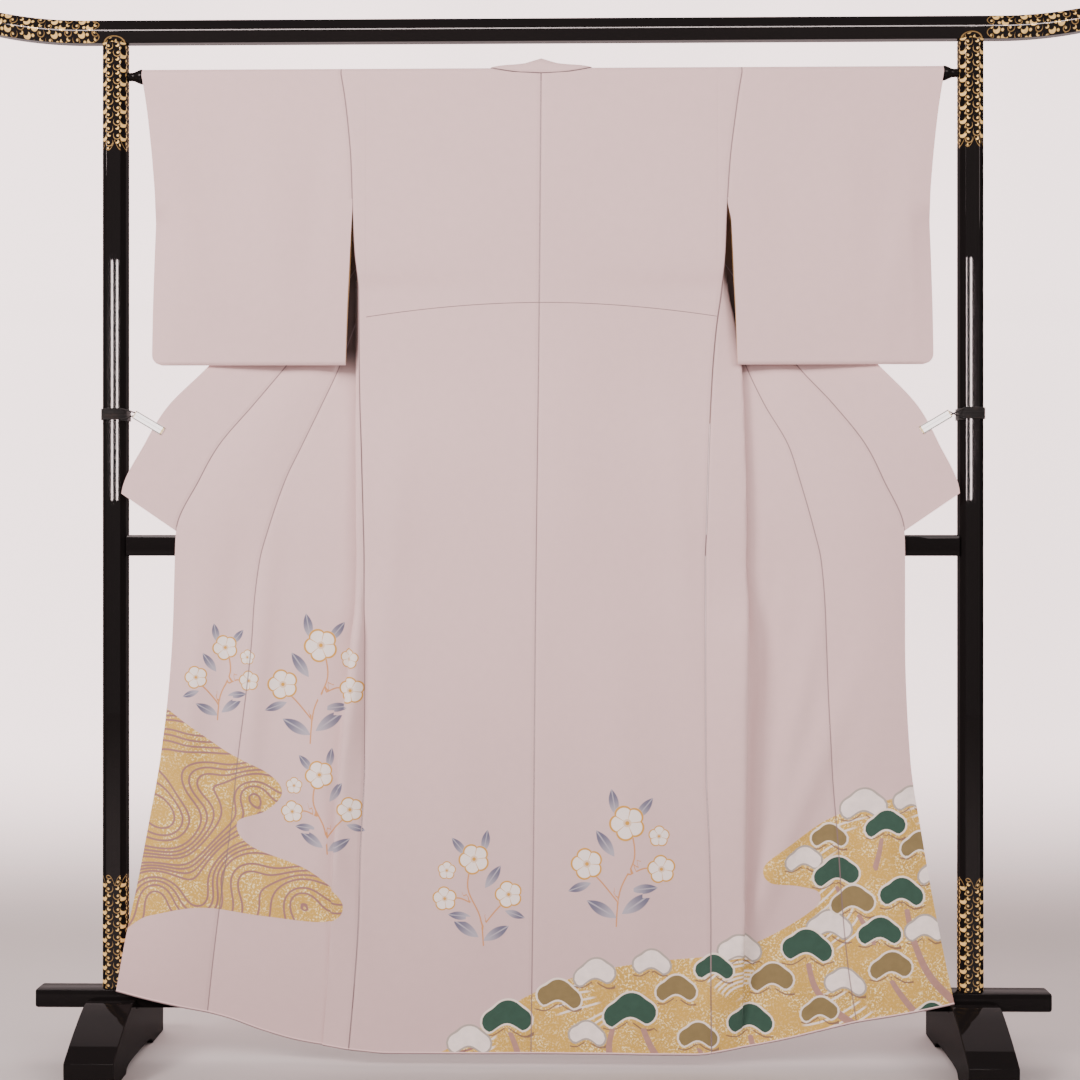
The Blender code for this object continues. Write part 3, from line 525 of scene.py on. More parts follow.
def pleat_corners(side, z):
    """Corners of the front panel's section: front leg out, middle leg back in, back leg out."""
    front = FRONT[side]
    seam, out, edge = front("side", z), front("out", z), front("edge", z)
    depth = front("depth", z)
    inner = (2 * out - seam + edge + depth - FRONT_WIDTH) / 2
    if inner > out:
        inner = out
        depth = FRONT_WIDTH - (edge - seam)
    inner = min(inner, edge)
    near = min(depth / 2, 0.8 * (out - seam))
    far = depth / 2
    back_out = min(near, 0.4 * (out - inner))
    back_in = min(far, 0.4 * (out - inner))
    fold = DEPTH("fold", z)
    start = seam + (SIDE_GAP if out > seam else 0.0)
    return [(start, DEPTH("front_side", z)), (out - near, fold - near), (out, fold - near), (out, fold),
            (out - back_out, fold), (inner + back_in, fold), (inner, fold), (inner, fold + far),
            (min(inner + far, edge), fold + far), (edge, DEPTH("edge", z))]


def run_along(points):
    """How far along a line of points each one lies."""
    return np.concatenate([[0.0], np.cumsum(np.linalg.norm(np.diff(points, axis=0), axis=1))])


def spread_evenly(points, count):
    """Count points at equal steps along a line of points, and how far along each one is."""
    run = run_along(points)
    places = np.linspace(0.0, run[-1], count)
    return np.column_stack([np.interp(places, run, points[:, k]) for k in range(2)]), places


# %% [markdown]
# Hung cloth is never quite flat. Long soft folds run down from where it is held, and the whole stack
# of layers moves with them, so one field of small pushes towards or away from us serves every piece.
# Seams stay closed, because both sides of a seam are pushed alike. Each fold is a line with a width
# and a height, strongest at its middle, and the field fades out where the rod holds the cloth.

# %% Soft folds
# Each fold from (x, z) to (x, z), its half width, and how far it stands out, all in metres
SOFT_FOLDS = [
    ((0.500, 0.640), (0.300, 0.160), 0.025, 0.0095),
    ((0.460, 0.800), (0.380, 0.420), 0.022, 0.0065),
    ((0.385, 0.840), (0.340, 0.560), 0.017, -0.0035),
    ((0.560, 0.520), (0.470, 0.180), 0.025, -0.0045),
    ((0.120, 0.700), (0.175, 0.120), 0.040, 0.0060),
    ((-0.400, 0.520), (-0.295, 0.230), 0.025, 0.0085),
    ((-0.505, 0.880), (-0.560, 0.420), 0.022, -0.0050),
    ((-0.450, 0.900), (-0.500, 0.380), 0.023, 0.0080),
    ((-0.570, 0.780), (-0.600, 0.400), 0.018, 0.0055),
    ((-0.150, 0.620), (-0.110, 0.120), 0.045, 0.0050),
    ((-0.230, 1.080), (-0.265, 0.620), 0.028, 0.0042),
    ((0.215, 1.120), (0.245, 0.640), 0.028, 0.0040),
    ((0.060, 1.220), (0.030, 0.800), 0.055, 0.0035),
    ((-0.620, 1.560), (-0.560, 1.240), 0.028, 0.0032),
    ((-0.470, 1.620), (-0.430, 1.260), 0.040, 0.0038),
    ((-0.360, 1.620), (-0.390, 1.300), 0.026, -0.0022),
    ((0.620, 1.560), (0.565, 1.230), 0.026, 0.0034),
    ((0.500, 1.620), (0.520, 1.280), 0.040, 0.0036),
    ((0.385, 1.620), (0.410, 1.280), 0.028, -0.0022),
]
HELD_AT = (1.660, 1.560)


def soft_push(x, z):
    """How far the cloth at x and z is pushed along Y, negative towards us."""
    push = np.zeros_like(x)
    for (x1, z1), (x2, z2), half_width, height in SOFT_FOLDS:
        length = math.hypot(x2 - x1, z2 - z1)
        way = ((x2 - x1) / length, (z2 - z1) / length)
        along = ((x - x1) * way[0] + (z - z1) * way[1]) / length
        across = (x - x1) * way[1] - (z - z1) * way[0]
        taper = np.where((along > -0.35) & (along < 1.35),
                         np.cos(math.pi / 1.7 * np.clip(along - 0.5, -0.85, 0.85))**2, 0.0)
        push -= height * taper * np.exp(-(across / half_width)**2)
    free = np.clip((HELD_AT[0] - z) / (HELD_AT[0] - HELD_AT[1]), 0.0, 1.0)
    return push * free * free * (3 - 2 * free)


# %% [markdown]
# Every sheet is made the same way. A grid of points gives its middle surface. Its right side lies
# half a thickness outward, its lining half a thickness inward, and a narrow rim closes the edges, so
# the piece is a real wall with a finish of its own on each side.
#
# Two UV maps go with it, both in metres. `weave` runs unbroken along the cloth, for its grain.
# `design` is the sheet seen straight from the front, so a design can run on across the seams. The
# number `seam` says how far each point is from the nearest sewn edge.

# %% Sheets of cloth
def surface_normals(grid, ring):
    if ring:
        along = np.roll(grid, -1, axis=0) - np.roll(grid, 1, axis=0)
    else:
        along = np.gradient(grid, axis=0)
    normal = np.cross(along, np.gradient(grid, axis=1))
    return normal / np.maximum(np.linalg.norm(normal, axis=2, keepdims=True), 1e-12)


def build_piece(name, points, faces, finishes, maps, seam, sharp_above, slots=None):
    """A piece from its points and faces, with its UV maps and its distance from the seams."""
    mesh = bpy.data.meshes.new(name)
    mesh.from_pydata(points.tolist(), [], faces)
    for finish in finishes:
        mesh.materials.append(finish)
    if slots:
        mesh.polygons.foreach_set("material_index", slots)
    corners = np.empty(len(mesh.loops), dtype=int)
    mesh.loops.foreach_get("vertex_index", corners)
    for title, uv in maps.items():
        uv = uv.reshape(-1, 2)
        layer = mesh.uv_layers.new(name=title)
        layer.data.foreach_set("uv", uv[corners % len(uv)].astype(np.float32).ravel())
    mesh.attributes.new("seam", "FLOAT", "POINT").data.foreach_set(
        "value", np.asarray(seam, dtype=np.float32).ravel())
    mesh.shade_smooth()
    mesh.set_sharp_from_angle(angle=math.radians(sharp_above))
    piece = bpy.data.objects.new(name, mesh)
    bpy.context.scene.collection.objects.link(piece)
    return piece


def add_sheet(name, grid, weave, seam, thickness, finishes, flip=False, ring=False):
    """A wall of cloth about a grid of points, with finishes for its right side and its lining."""
    rows, cols = grid.shape[:2]
    normal = surface_normals(grid, ring) * (-1 if flip else 1)
    points = np.concatenate([(grid + normal * thickness / 2).reshape(-1, 3),
                             (grid - normal * thickness / 2).reshape(-1, 3)])
    under = rows * cols
    faces, slots = [], []

    def add(face, slot, turned):
        faces.append(face[::-1] if turned else face)
        slots.append(slot)

    last_row = rows if ring else rows - 1
    for i in range(last_row):
        low, high = i * cols, ((i + 1) % rows) * cols
        for j in range(cols - 1):
            face = (low + j, high + j, high + j + 1, low + j + 1)
            add(face, 0, flip)
            add(tuple(under + v for v in face), 1, not flip)
        for j, turned in ((0, False), (cols - 1, True)):
            add((high + j, low + j, under + low + j, under + high + j), 0, turned != flip)
    if not ring:
        for j in range(cols - 1):
            for i, turned in ((0, False), ((rows - 1) * cols, True)):
                add((i + j, i + j + 1, under + i + j + 1, under + i + j), 0, turned != flip)

    print(name, "faces", len(faces))
    return build_piece(name, points, faces, finishes, {"weave": weave, "design": grid[:, :, [0, 2]]},
                       np.tile(np.ravel(seam), 2), 50, slots)


def hang(piece, *replaced, slot="silk"):
    """Sets a piece down to the floor and ties it to the row's one body, in place of its solids."""
    piece.data.transform(Matrix.Translation((0.0, 0.0, -FLOOR)))
    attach(piece, "root")
    if replaced:
        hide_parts(*replaced)
    return piece


# %% [markdown]
# The rows of points lie 8 mm apart down the garment and the columns 5 mm apart across it. That is
# close enough for folds a few centimetres wide, and it keeps each sheet under its share of faces.
# Near the hem the rows rise outward, since the hem of a spread kimono does.

# %% Rows, lifts and the way over the rod
ROW_STEP = 0.008
COLUMN_STEP = 0.005
ROD_STEPS = 12

row_heights = np.linspace(HEM, ROD_HEIGHT, int(round((ROD_HEIGHT - HEM) / ROW_STEP)) + 1)


def columns_for(width):
    return int(round(width / COLUMN_STEP)) + 1


def lift(side, outward, z):
    """Height of a point of the row z, once the hem's rise is shared out up to HEM_LIFT_TOP."""
    fade = max(0.0, (HEM_LIFT_TOP - z) / (HEM_LIFT_TOP - HEM))
    return z + (HEM_LINE(side, abs(outward)) - HEM) * fade


def neck_edge(angle):
    """How far out the neckline is, where it has come this far round the rod."""
    turn = min(max((180.0 - angle) / 90.0, 0.0), 1.0)
    return NECK_HALF * math.sqrt(1.0 - (1.0 - turn)**2)


def round_rod(angle, radius=DRAPE):
    """The point at this angle round the rod, as (y, z): 180 towards -Y, 90 on top, 0 towards +Y."""
    turn = math.radians(angle)
    return radius * math.cos(turn), ROD_HEIGHT + radius * math.sin(turn)


def pushed(grid, side):
    """A grid made for the right side, with x turned for its own side and the soft folds added."""
    grid = np.array(grid, dtype=float)
    grid[:, :, 0] *= SIDES[side]
    grid[:, :, 1] += soft_push(grid[:, :, 0], grid[:, :, 2])
    return grid


# %% [markdown]
# Each body panel is one length of silk, from the back hem up, over the rod beside the neck, and down
# the front. It is sewn along both of its long edges: to its neighbour down the middle of the back,
# and to the sleeve, the side seam and the okumi elsewhere.

# %% Body panels
def body_grid(side):
    sign = SIDES[side]
    count = columns_for(BACK_WIDTH)
    even = np.linspace(0.0, 1.0, count)
    grid, weave, seam = [], [], []
    for z in row_heights:
        inner = sign * CENTRE("x", z) + STITCH
        outer = FRONT[side]("side", z) - STITCH
        side_y, mid_y = DEPTH("back_side", z), DEPTH("back_mid", z)
        xs = outer + (inner - outer) * even
        ys = side_y + (mid_y - side_y) * even * even * (3 - 2 * even)
        grid.append([(x, y, lift(side, x, z)) for x, y in zip(xs, ys)])
        across = BACK_WIDTH * (1 - even)
        weave.append(np.column_stack([across, np.full(count, z)]))
        seam.append(np.minimum(across, BACK_WIDTH - across))
    outer = FRONT[side]("side", ROD_HEIGHT)
    for k in range(1, ROD_STEPS):
        angle = 180.0 - 180.0 * k / ROD_STEPS
        y, z = round_rod(angle)
        inner = neck_edge(angle)
        grid.append([(outer + (inner - outer) * s, y, z) for s in even])
        length = DRAPE * math.radians(180.0 - angle)
        across = BACK_WIDTH * (1 - even)
        weave.append(np.column_stack([across, np.full(count, ROD_HEIGHT + length)]))
        seam.append(np.minimum(across, BACK_WIDTH - across))
    for z in row_heights[::-1]:
        section, places = spread_evenly(rounded(pleat_corners(side, z)), count)
        grid.append([(x, y, lift(side, x, z)) for x, y in section])
        weave.append(np.column_stack([BACK_WIDTH - places, np.full(count, 2 * ROD_HEIGHT - z)]))
        seam.append(np.minimum(places, places[-1] - places))
    return pushed(grid, side), np.array(weave), np.array(seam)


# %% Okumi, the narrow panels beside the fronts
def okumi_grid(side):
    even = np.linspace(0.0, 1.0, columns_for(OKUMI_WIDTH))
    grid, weave, seam = [], [], []
    for z in row_heights[row_heights <= OKUMI_TIP]:
        low, high = FRONT[side]("edge", z) + STITCH, FRONT[side]("outer", z) - STITCH
        xs = low + (high - low) * even
        ys = (DEPTH("edge", z) * (1 - even) + DEPTH("outer", z) * even
              - 0.05 * (high - low) * np.sin(math.pi * even))
        grid.append([(x, y, lift(side, x, z)) for x, y in zip(xs, ys)])
        across = (high - low) * even
        weave.append(np.column_stack([across, np.full(len(even), z)]))
        seam.append(np.minimum(across, across[-1] - across) if z > COLLAR_END else across)
    return pushed(grid, side), np.array(weave), np.array(seam)


# %% Collar, from its right end round the neck to its left end
def collar_station(side, z):
    """Four shaping points across the collar where its seam is at height z on the front."""
    seam = FRONT[side]("outer", z)
    start = np.array([seam + COLLAR("room_out", z), DEPTH("outer", z) + COLLAR("room_back", z), z])
    end = np.array([seam + COLLAR("out", z), DEPTH("collar", z), z + COLLAR("up", z)])
    return [start, start + (end - start) / 3, start + (end - start) * 2 / 3, end]


def neck_station(angle):
    """Four shaping points across the collar where its seam goes round the rod."""
    y, z = round_rod(angle, DRAPE + (COLLAR_CLOTH - CLOTH) / 2)
    rise = max(0.0, -math.cos(math.radians(angle)))
    start = np.array([max(neck_edge(angle) - 0.0010, 0.0), y, z + 0.0008 * rise])
    shape = [np.array([NECK(axis + str(k), angle) for axis in "xyz"]) for k in (1, 2, 3)]
    return [start] + shape


def across_collar(four, count):
    t = np.linspace(0.0, 1.0, count)[:, None]
    return ((1 - t)**3 * four[0] + 3 * t * (1 - t)**2 * four[1] + 3 * t * t * (1 - t) * four[2]
            + t**3 * four[3])


def collar_grid(count=24, neck_steps=24):
    halves = {}
    for side in SIDES:
        half = [across_collar(collar_station(side, z), count)
                for z in np.arange(COLLAR_END, ROD_HEIGHT, ROW_STEP)]
        half += [across_collar(neck_station(180.0 * k / neck_steps), count)
                 for k in range(neck_steps + 1)]
        halves[side] = pushed(half, side)
    grid = np.concatenate([halves["right"], halves["left"][-2::-1]])
    run = run_along(grid[:, 0])
    across = np.linspace(0.0, COLLAR_WIDTH, count)
    weave = np.stack(np.broadcast_arrays(across[None, :], run[:, None]), axis=2)
    return grid, weave, weave[:, :, 0]


# %% Sleeves, flat bags folded over the rod
def sleeve_grid(side):
    even = np.linspace(0.0, 1.0, columns_for(SLEEVE_WIDTH))
    heights = np.concatenate([SLEEVE_BOTTOM + np.array([0.003, 0.006, 0.010, 0.014]),
                              np.arange(SLEEVE_BOTTOM + 0.020, ROD_HEIGHT - 0.004, ROW_STEP),
                              [ROD_HEIGHT]])

    def inner_edge(z):
        seam = FRONT[side]("side", z) + STITCH
        hang_free = SLEEVE("inner", z)
        share = min(max((z - ARMHOLE_END) / 0.03 + 1.0, 0.0), 1.0)
        return hang_free + (seam - hang_free) * share

    def outer_edge(z, far):
        drop = SLEEVE_CORNER - (z - SLEEVE_BOTTOM)
        cut = SLEEVE_CORNER - math.sqrt(SLEEVE_CORNER**2 - drop**2) if drop > 0 else 0.0
        peep = 0.004 * min(max((z - CUFF_END) / 0.08, 0.0), 1.0) if far else 0.0
        return SLEEVE("outer", z) - cut + peep

    def layer_y(z, far):
        near_y = -DRAPE + 0.0015 * (1 - min(1.0, (z - SLEEVE_BOTTOM) / 0.1))
        if not far:
            return near_y
        hang_share = max(0.0, (ARMHOLE_END - z) / (ARMHOLE_END - SLEEVE_BOTTOM))
        return DRAPE - 0.0140 * hang_share

    def straight_row(low, high, y, z):
        return np.column_stack([low + (high - low) * even, np.full(len(even), y),
                                np.full(len(even), z)])

    def row_at(z, far):
        low, high = inner_edge(z), outer_edge(z, far)
        y, partner = layer_y(z, far), layer_y(z, not far)
        shut = min(max((CUFF_END - z) / 0.03, 0.0), 1.0)
        close = shut * np.clip((even - 0.90) / 0.10, 0.0, 1.0)
        middle = (y + partner) / 2
        held = middle + math.copysign(CLOTH / 2 + 0.0003, y - middle)
        return np.column_stack([low + (high - low) * even, y + (held - y) * close,
                                np.full(len(even), z)])

    grid = [row_at(z, False) for z in heights]
    for k in range(1, ROD_STEPS):
        angle = 180.0 - 180.0 * k / ROD_STEPS
        y, z = round_rod(angle)
        grid.append(straight_row(inner_edge(ROD_HEIGHT), outer_edge(ROD_HEIGHT, k > ROD_STEPS / 2), y, z))
    grid += [row_at(z, True) for z in heights[::-1]]
    low_y = (layer_y(heights[0], False) + layer_y(heights[0], True)) / 2
    grid.append(straight_row(inner_edge(SLEEVE_BOTTOM), outer_edge(SLEEVE_BOTTOM, False), low_y,
                             SLEEVE_BOTTOM))
    grid = pushed(grid, side)
    run = run_along(grid[:, len(even) // 2])
    weave = np.stack(np.broadcast_arrays(SLEEVE_WIDTH * even[None, :], run[:, None]), axis=2)
    sewn = np.where(grid[:, :, 2] > ARMHOLE_END, weave[:, :, 0], SLEEVE_WIDTH)
    return grid, weave, sewn


# %% [markdown]
# The silk is a heavy crepe. Its twisted weft draws up into a fine grain, so it looks matt, with only
# a soft sheen where it turns away. The grain follows the cloth, so it is drawn on the `weave` map: a
# noise finer than a millimetre for the bump, and two broad ones that make the dye a little uneven.
#
# A seam pulls the cloth in and shows as a thin dark line, so the shader darkens and sinks the cloth
# where the number `seam` is near nought. The back also has a tuck sewn across it at the waist: above
# it the cloth lies one thickness higher.
#
# In the open slit beside each sleeve the layers stand so close that hardly any light gets in. That
# shade is painted into the silk that faces the slit, golden brown above and nearly black below.

# %% Crepe
MAUVE = (0.735, 0.555, 0.545)
SEAM_SHADE = from_srgb(122, 104, 106)
TUCK_HEIGHT, TUCK_DROP, TUCK_REACH = 1.2925, 0.262, 0.292
SLIT_SHADE_DARK = (0.028, 0.015, 0.011)
SLIT_SHADE_GOLDEN = (0.120, 0.058, 0.018)
# Where the painted shade in the slit lies: its depth, how far out, its height, and where golden takes over
SLIT_DEPTH = (0.0020, 0.0090)
SLIT_INNER, SLIT_OUTER = 0.296, (0.335, 0.350)
SLIT_LOW, SLIT_HIGH = (1.12, 1.19), (1.41, 1.44)
SLIT_TURNS_GOLDEN = (1.30, 1.37)
SLIT_SHADE_STRENGTH = 0.92
# Heights of the relief in metres
GRAIN_HEIGHT = 0.00010
SEAM_SINKS = 0.0009
TUCK_THICKNESS = 0.0010


def towards_hem(z):
    """Painted shade: the silk is made a little darker towards the hem, where less light reaches it."""
    return 0.86 + z.step(0.05, 0.80) * 0.14


def slit_stain(finish, colour):
    """Paints shade into the silk behind the slit beside each sleeve."""
    x, y, z = finish.axes(finish.places())
    behind = y.step(*SLIT_DEPTH) * abs(x).above(SLIT_INNER) * (1 - abs(x).step(*SLIT_OUTER))
    beside = z.step(*SLIT_LOW) * (1 - z.step(*SLIT_HIGH))
    # Painted shade: golden brown higher up, nearly black lower down
    painted_shade = finish.mix(z.step(*SLIT_TURNS_GOLDEN), SLIT_SHADE_DARK, SLIT_SHADE_GOLDEN)
    return finish.mix(behind * beside * SLIT_SHADE_STRENGTH, colour, painted_shade)


def crepe(finish, ground, relief=None, body=False):
    """Finishes a material as crepe silk on a ground colour, with any relief in metres on top."""
    weave = finish.uv("weave")[0]
    grain = finish.noise(weave, 1300.0, detail=1.0)
    broad = finish.noise(weave, 4.0, detail=2.0)
    fine = finish.noise(weave, 60.0, detail=2.0)
    colour = finish.scaled(ground, 0.935 + broad * 0.07 + fine * 0.06)
    seam = finish.number("seam")
    line = 1 - seam.step(0.0005, 0.0016)
    height = grain * GRAIN_HEIGHT + seam.step(0.0, 0.007) * SEAM_SINKS
    if body:
        x, z = finish.uv("design")[1:]
        # Painted shade: the silk darkens towards the hem
        colour = slit_stain(finish, finish.scaled(colour, towards_hem(z)))
        above = z - (TUCK_HEIGHT - TUCK_DROP * x * x)
        on_back = abs(x).below(TUCK_REACH)
        line = line.at_least((1 - abs(above).step(0.0002, 0.0011)) * on_back * 0.8)
        height = height + above.step(-0.0006, 0.0006) * on_back * TUCK_THICKNESS
    if relief is not None:
        height = height + relief
    colour = finish.mix(line * 0.80, colour, SEAM_SHADE)
    return finish.set(base_color=colour, roughness=0.74 + grain * 0.16,
                      normal=finish.bump(height), specular_ior_level=0.30,
                      sheen_weight=0.18, sheen_roughness=0.45)


silk = crepe(Finish("crepe"), MAUVE)
silk_body = crepe(Finish("crepe_body"), MAUVE, body=True)

# %% [markdown]
# Inside, the upper half is lined with a plain golden-tan silk, and the lower half with more of the
# outer crepe. Lining silk is smoother than crepe and shines a little along its threads.

# %% Lining
LINING_TAN = from_srgb(204, 166, 98)
LINING_SHADE = from_srgb(120, 98, 72)
LINING_JOIN = 0.960


def make_lining():
    finish = Finish("lining")
    weave = finish.uv("weave")[0]
    z = finish.uv("design")[2]
    threads = finish.noise(finish.node("ShaderNodeVectorMath", {"operation": "MULTIPLY"}, {
        0: weave, 1: (1.0, 0.12, 1.0)}).outputs[0], 1500.0, detail=1.0)
    broad = finish.noise(weave, 5.0)
    upper = z.above(LINING_JOIN)
    join = 1 - abs(z - LINING_JOIN).step(0.0005, 0.0015)
    seam = finish.number("seam")
    line = (1 - seam.step(0.0005, 0.0016)).at_least(join)
    colour = finish.mix(upper, MAUVE, LINING_TAN)
    colour = finish.scaled(colour, 0.94 + broad * 0.10 + threads * 0.02)
    colour = finish.mix(line * 0.7, colour, LINING_SHADE)
    height = threads * 0.00004 + seam.step(0.0, 0.007) * 0.0008
    return finish.set(base_color=colour, roughness=0.66 - upper * 0.16 + threads * 0.06,
                      normal=finish.bump(height), sheen_weight=0.15, sheen_roughness=0.35)


lining = make_lining()
print("silk nodes:", len(silk.node_tree.nodes), "lining nodes:", len(lining.node_tree.nodes))

# %% [markdown]
# The lower part of the garment is painted: two clouds of gold ground, one with flowing water lines
# and one with rounded clumps of foliage on leaning trunks, and a few sprays of blossom on the plain
# silk. We lay out a design of our own from such stock motifs, as a dyer's pattern book does.
#
# A large soft shape is best described by numbers that the mesh carries: for each point of the cloth,
# how far it is from the shape's outline, less than nought inside. The shader cuts at nought, so the
# edge is far finer than the mesh. A cloud's outline is a smooth closed curve through a few points.

# %% Shapes as distances
def closed_curve(points, per_span=10):
    """A smooth closed curve through the points."""
    points = np.array(points, dtype=float)
    curve = []
    for i in range(len(points)):
        a, b, c, d = (points[(i + k) % len(points)] for k in (-1, 0, 1, 2))
        for k in range(per_span):
            t = k / per_span
            curve.append(0.5 * (2 * b + (c - a) * t + (2 * a - 5 * b + 4 * c - d) * t * t
                                + (3 * b - a - 3 * c + d) * t**3))
    return np.array(curve)


def to_line(places, curve, closed=False):
    """Distance to a line of points, on which side it is, and how far along, for each place."""
    ends = np.roll(curve, -1, axis=0) if closed else curve[1:]
    starts = curve if closed else curve[:-1]
    near = np.full(len(places), np.inf)
    hand = np.zeros(len(places))
    along = np.zeros(len(places))
    for k, (start, end) in enumerate(zip(starts, ends)):
        way = end - start
        share = np.clip((places - start) @ way / (way @ way), 0.0, 1.0)
        gap = places - start - share[:, None] * way
        far = np.hypot(gap[:, 0], gap[:, 1])
        closer = far < near
        near[closer] = far[closer]
        hand[closer] = np.sign(way[0] * gap[:, 1] - way[1] * gap[:, 0])[closer]
        along[closer] = ((k + share) / len(starts))[closer]
    return near, hand, along


def inside_curve(places, curve):
    """True inside the closed curve, by counting how often it is crossed."""
    inside = np.zeros(len(places), dtype=bool)
    x, z = places[:, 0], places[:, 1]
    for (x1, z1), (x2, z2) in zip(curve, np.roll(curve, -1, axis=0)):
        if z1 != z2:
            crossed = ((z1 > z) != (z2 > z)) & (x < (x2 - x1) * (z - z1) / (z2 - z1) + x1)
            inside ^= crossed
    return inside


def cloud_distance(places, outline):
    curve = closed_curve(outline)
    near = to_line(places, curve, closed=True)[0]
    return np.where(inside_curve(places, curve), -near, near)


# %% Where the two gold clouds lie, as x and z in metres
GOLD_CLOUDS = [
    [(-0.760, 0.672), (-0.668, 0.646), (-0.600, 0.604), (-0.527, 0.552), (-0.452, 0.512),
     (-0.428, 0.480), (-0.455, 0.450), (-0.502, 0.432), (-0.480, 0.392), (-0.385, 0.352),
     (-0.326, 0.302), (-0.352, 0.268), (-0.458, 0.276), (-0.564, 0.290), (-0.650, 0.276),
     (-0.760, 0.250)],
    [(-0.200, -0.030), (-0.108, 0.088), (-0.034, 0.142), (0.056, 0.180), (0.163, 0.204),
     (0.295, 0.218), (0.377, 0.246), (0.450, 0.292), (0.458, 0.318), (0.425, 0.328),
     (0.376, 0.335), (0.368, 0.362), (0.412, 0.398), (0.475, 0.440), (0.544, 0.464),
     (0.639, 0.484), (0.780, 0.490), (0.800, -0.030)],
]


def gold_distance(places):
    return np.minimum(*(cloud_distance(places, outline) for outline in GOLD_CLOUDS))


# %% [markdown]
# Water lines are the level lines of a smooth hilly surface, like the contour lines on a map. The hills
# are Gaussian bumps, so the lines close up into eddies round their tops. We give each point of the
# cloth the surface's height, counted in lines, and its steepness, from which the shader keeps the
# lines the same breadth wherever they crowd together or spread out.

# %% Flowing lines
LINE_EVERY = 0.0115
# Middle of each eddy, its reach and its height in metres
EDDIES = [((-0.640, 0.560), 0.050, 0.075), ((-0.560, 0.497), 0.036, 0.060), ((-0.480, 0.482), 0.026, 0.048),
          ((-0.618, 0.418), 0.055, -0.070), ((-0.500, 0.352), 0.045, 0.072),
          ((-0.640, 0.325), 0.034, 0.056),
          ((-0.400, 0.306), 0.030, 0.050), ((-0.560, 0.300), 0.030, -0.038),
          ((0.330, 0.150), 0.040, 0.060), ((0.560, 0.330), 0.034, 0.055), ((0.140, 0.090), 0.030, 0.045),
          ((0.640, 0.170), 0.032, 0.050)]
DRIFT = (0.34, -0.80)
WAVE, WAVE_X, WAVE_Z = 0.010, 21, 9


def water(places):
    """The surface's height counted in lines, and how many lines it climbs in a metre."""
    x, z = places[:, 0], places[:, 1]
    phase = x * WAVE_X + z * WAVE_Z
    height = DRIFT[0] * x + DRIFT[1] * z + WAVE * np.sin(phase)
    slope_x = DRIFT[0] + WAVE * WAVE_X * np.cos(phase)
    slope_z = DRIFT[1] + WAVE * WAVE_Z * np.cos(phase)
    for (mid_x, mid_z), reach, top in EDDIES:
        bump = top * np.exp(-((x - mid_x)**2 + (z - mid_z)**2) / (2 * reach**2))
        height = height + bump
        slope_x = slope_x - bump * (x - mid_x) / reach**2
        slope_z = slope_z - bump * (z - mid_z) / reach**2
    return height / LINE_EVERY, np.hypot(slope_x, slope_z) / LINE_EVERY


# %% [markdown]
# A clump of foliage is three round lobes with a flatter underside. Its distance is that of three
# discs, melted together where they meet and cut off below. There are three tones of clump, and each
# tone has a number of its own on the mesh, so that a dark clump can lie over a pale one.

# %% Foliage clumps: tone, x, z and width
CLUMPS = [
    ("pale", -0.118, 0.074, 0.070), ("pale", 0.088, 0.186, 0.066), ("pale", 0.182, 0.204, 0.060),
    ("pale", 0.326, 0.226, 0.070), ("pale", 0.474, 0.262, 0.072), ("pale", 0.530, 0.462, 0.074),
    ("pale", 0.630, 0.258, 0.064), ("pale", 0.076, 0.086, 0.058), ("pale", 0.500, 0.170, 0.064),
    ("pale", 0.432, 0.372, 0.058), ("pale", 0.610, 0.470, 0.060), ("pale", 0.650, 0.350, 0.058),
    ("olive", 0.030, 0.150, 0.072), ("olive", 0.222, 0.160, 0.066), ("olive", 0.380, 0.176, 0.070),
    ("olive", 0.512, 0.304, 0.070), ("olive", 0.622, 0.396, 0.062), ("olive", 0.258, 0.084, 0.064),
    ("olive", 0.574, 0.198, 0.068), ("olive", 0.458, 0.124, 0.060), ("olive", 0.474, 0.410, 0.058),
    ("dark", -0.056, 0.112, 0.082), ("dark", 0.146, 0.124, 0.086), ("dark", 0.344, 0.108, 0.074),
    ("dark", 0.284, 0.196, 0.062), ("dark", 0.438, 0.228, 0.082), ("dark", 0.556, 0.254, 0.070),
    ("dark", 0.486, 0.350, 0.074), ("dark", 0.592, 0.318, 0.072), ("dark", 0.566, 0.430, 0.066),
    ("dark", 0.640, 0.118, 0.060),
]
LOBES = [(-0.28, -0.06, 0.215), (0.02, 0.06, 0.300), (0.30, -0.05, 0.205)]
CLUMP_BASE = -0.20


def clump_distance(places, tone):
    """Distance to the nearest clump of a tone, in metres."""
    nearest = np.full(len(places), 0.2)
    for its_tone, x, z, width in CLUMPS:
        if its_tone != tone:
            continue
        lean = 0.25 * math.sin(40 * x + 23 * z)
        u = (places[:, 0] - x) / width
        v = (places[:, 1] - z) / width - lean * u * 0.5
        soft = 18.0
        discs = [np.exp(-soft * np.clip(np.hypot(u - a, v - b) - r, -1.0, 3.0)) for a, b, r in LOBES]
        shape = -np.log(sum(discs)) / soft
        shape = np.maximum(shape, CLUMP_BASE - v + 0.10 * np.cos(7 * u))
        nearest = np.minimum(nearest, shape * width)
    return nearest


# %% [markdown]
# A trunk or a stalk is thinner than the mesh is fine. For these each point carries two numbers: how
# far it lies to the left or right of the nearest one's middle line, and how wide that one is there.
# The first runs evenly through nought, so even a line a millimetre wide comes out whole.

# %% Trunks and stalks
def stroke(points, width, taper=0.6):
    return (closed_curve(points + points[-2:0:-1], 6)[:6 * (len(points) - 1) + 1], width, taper)


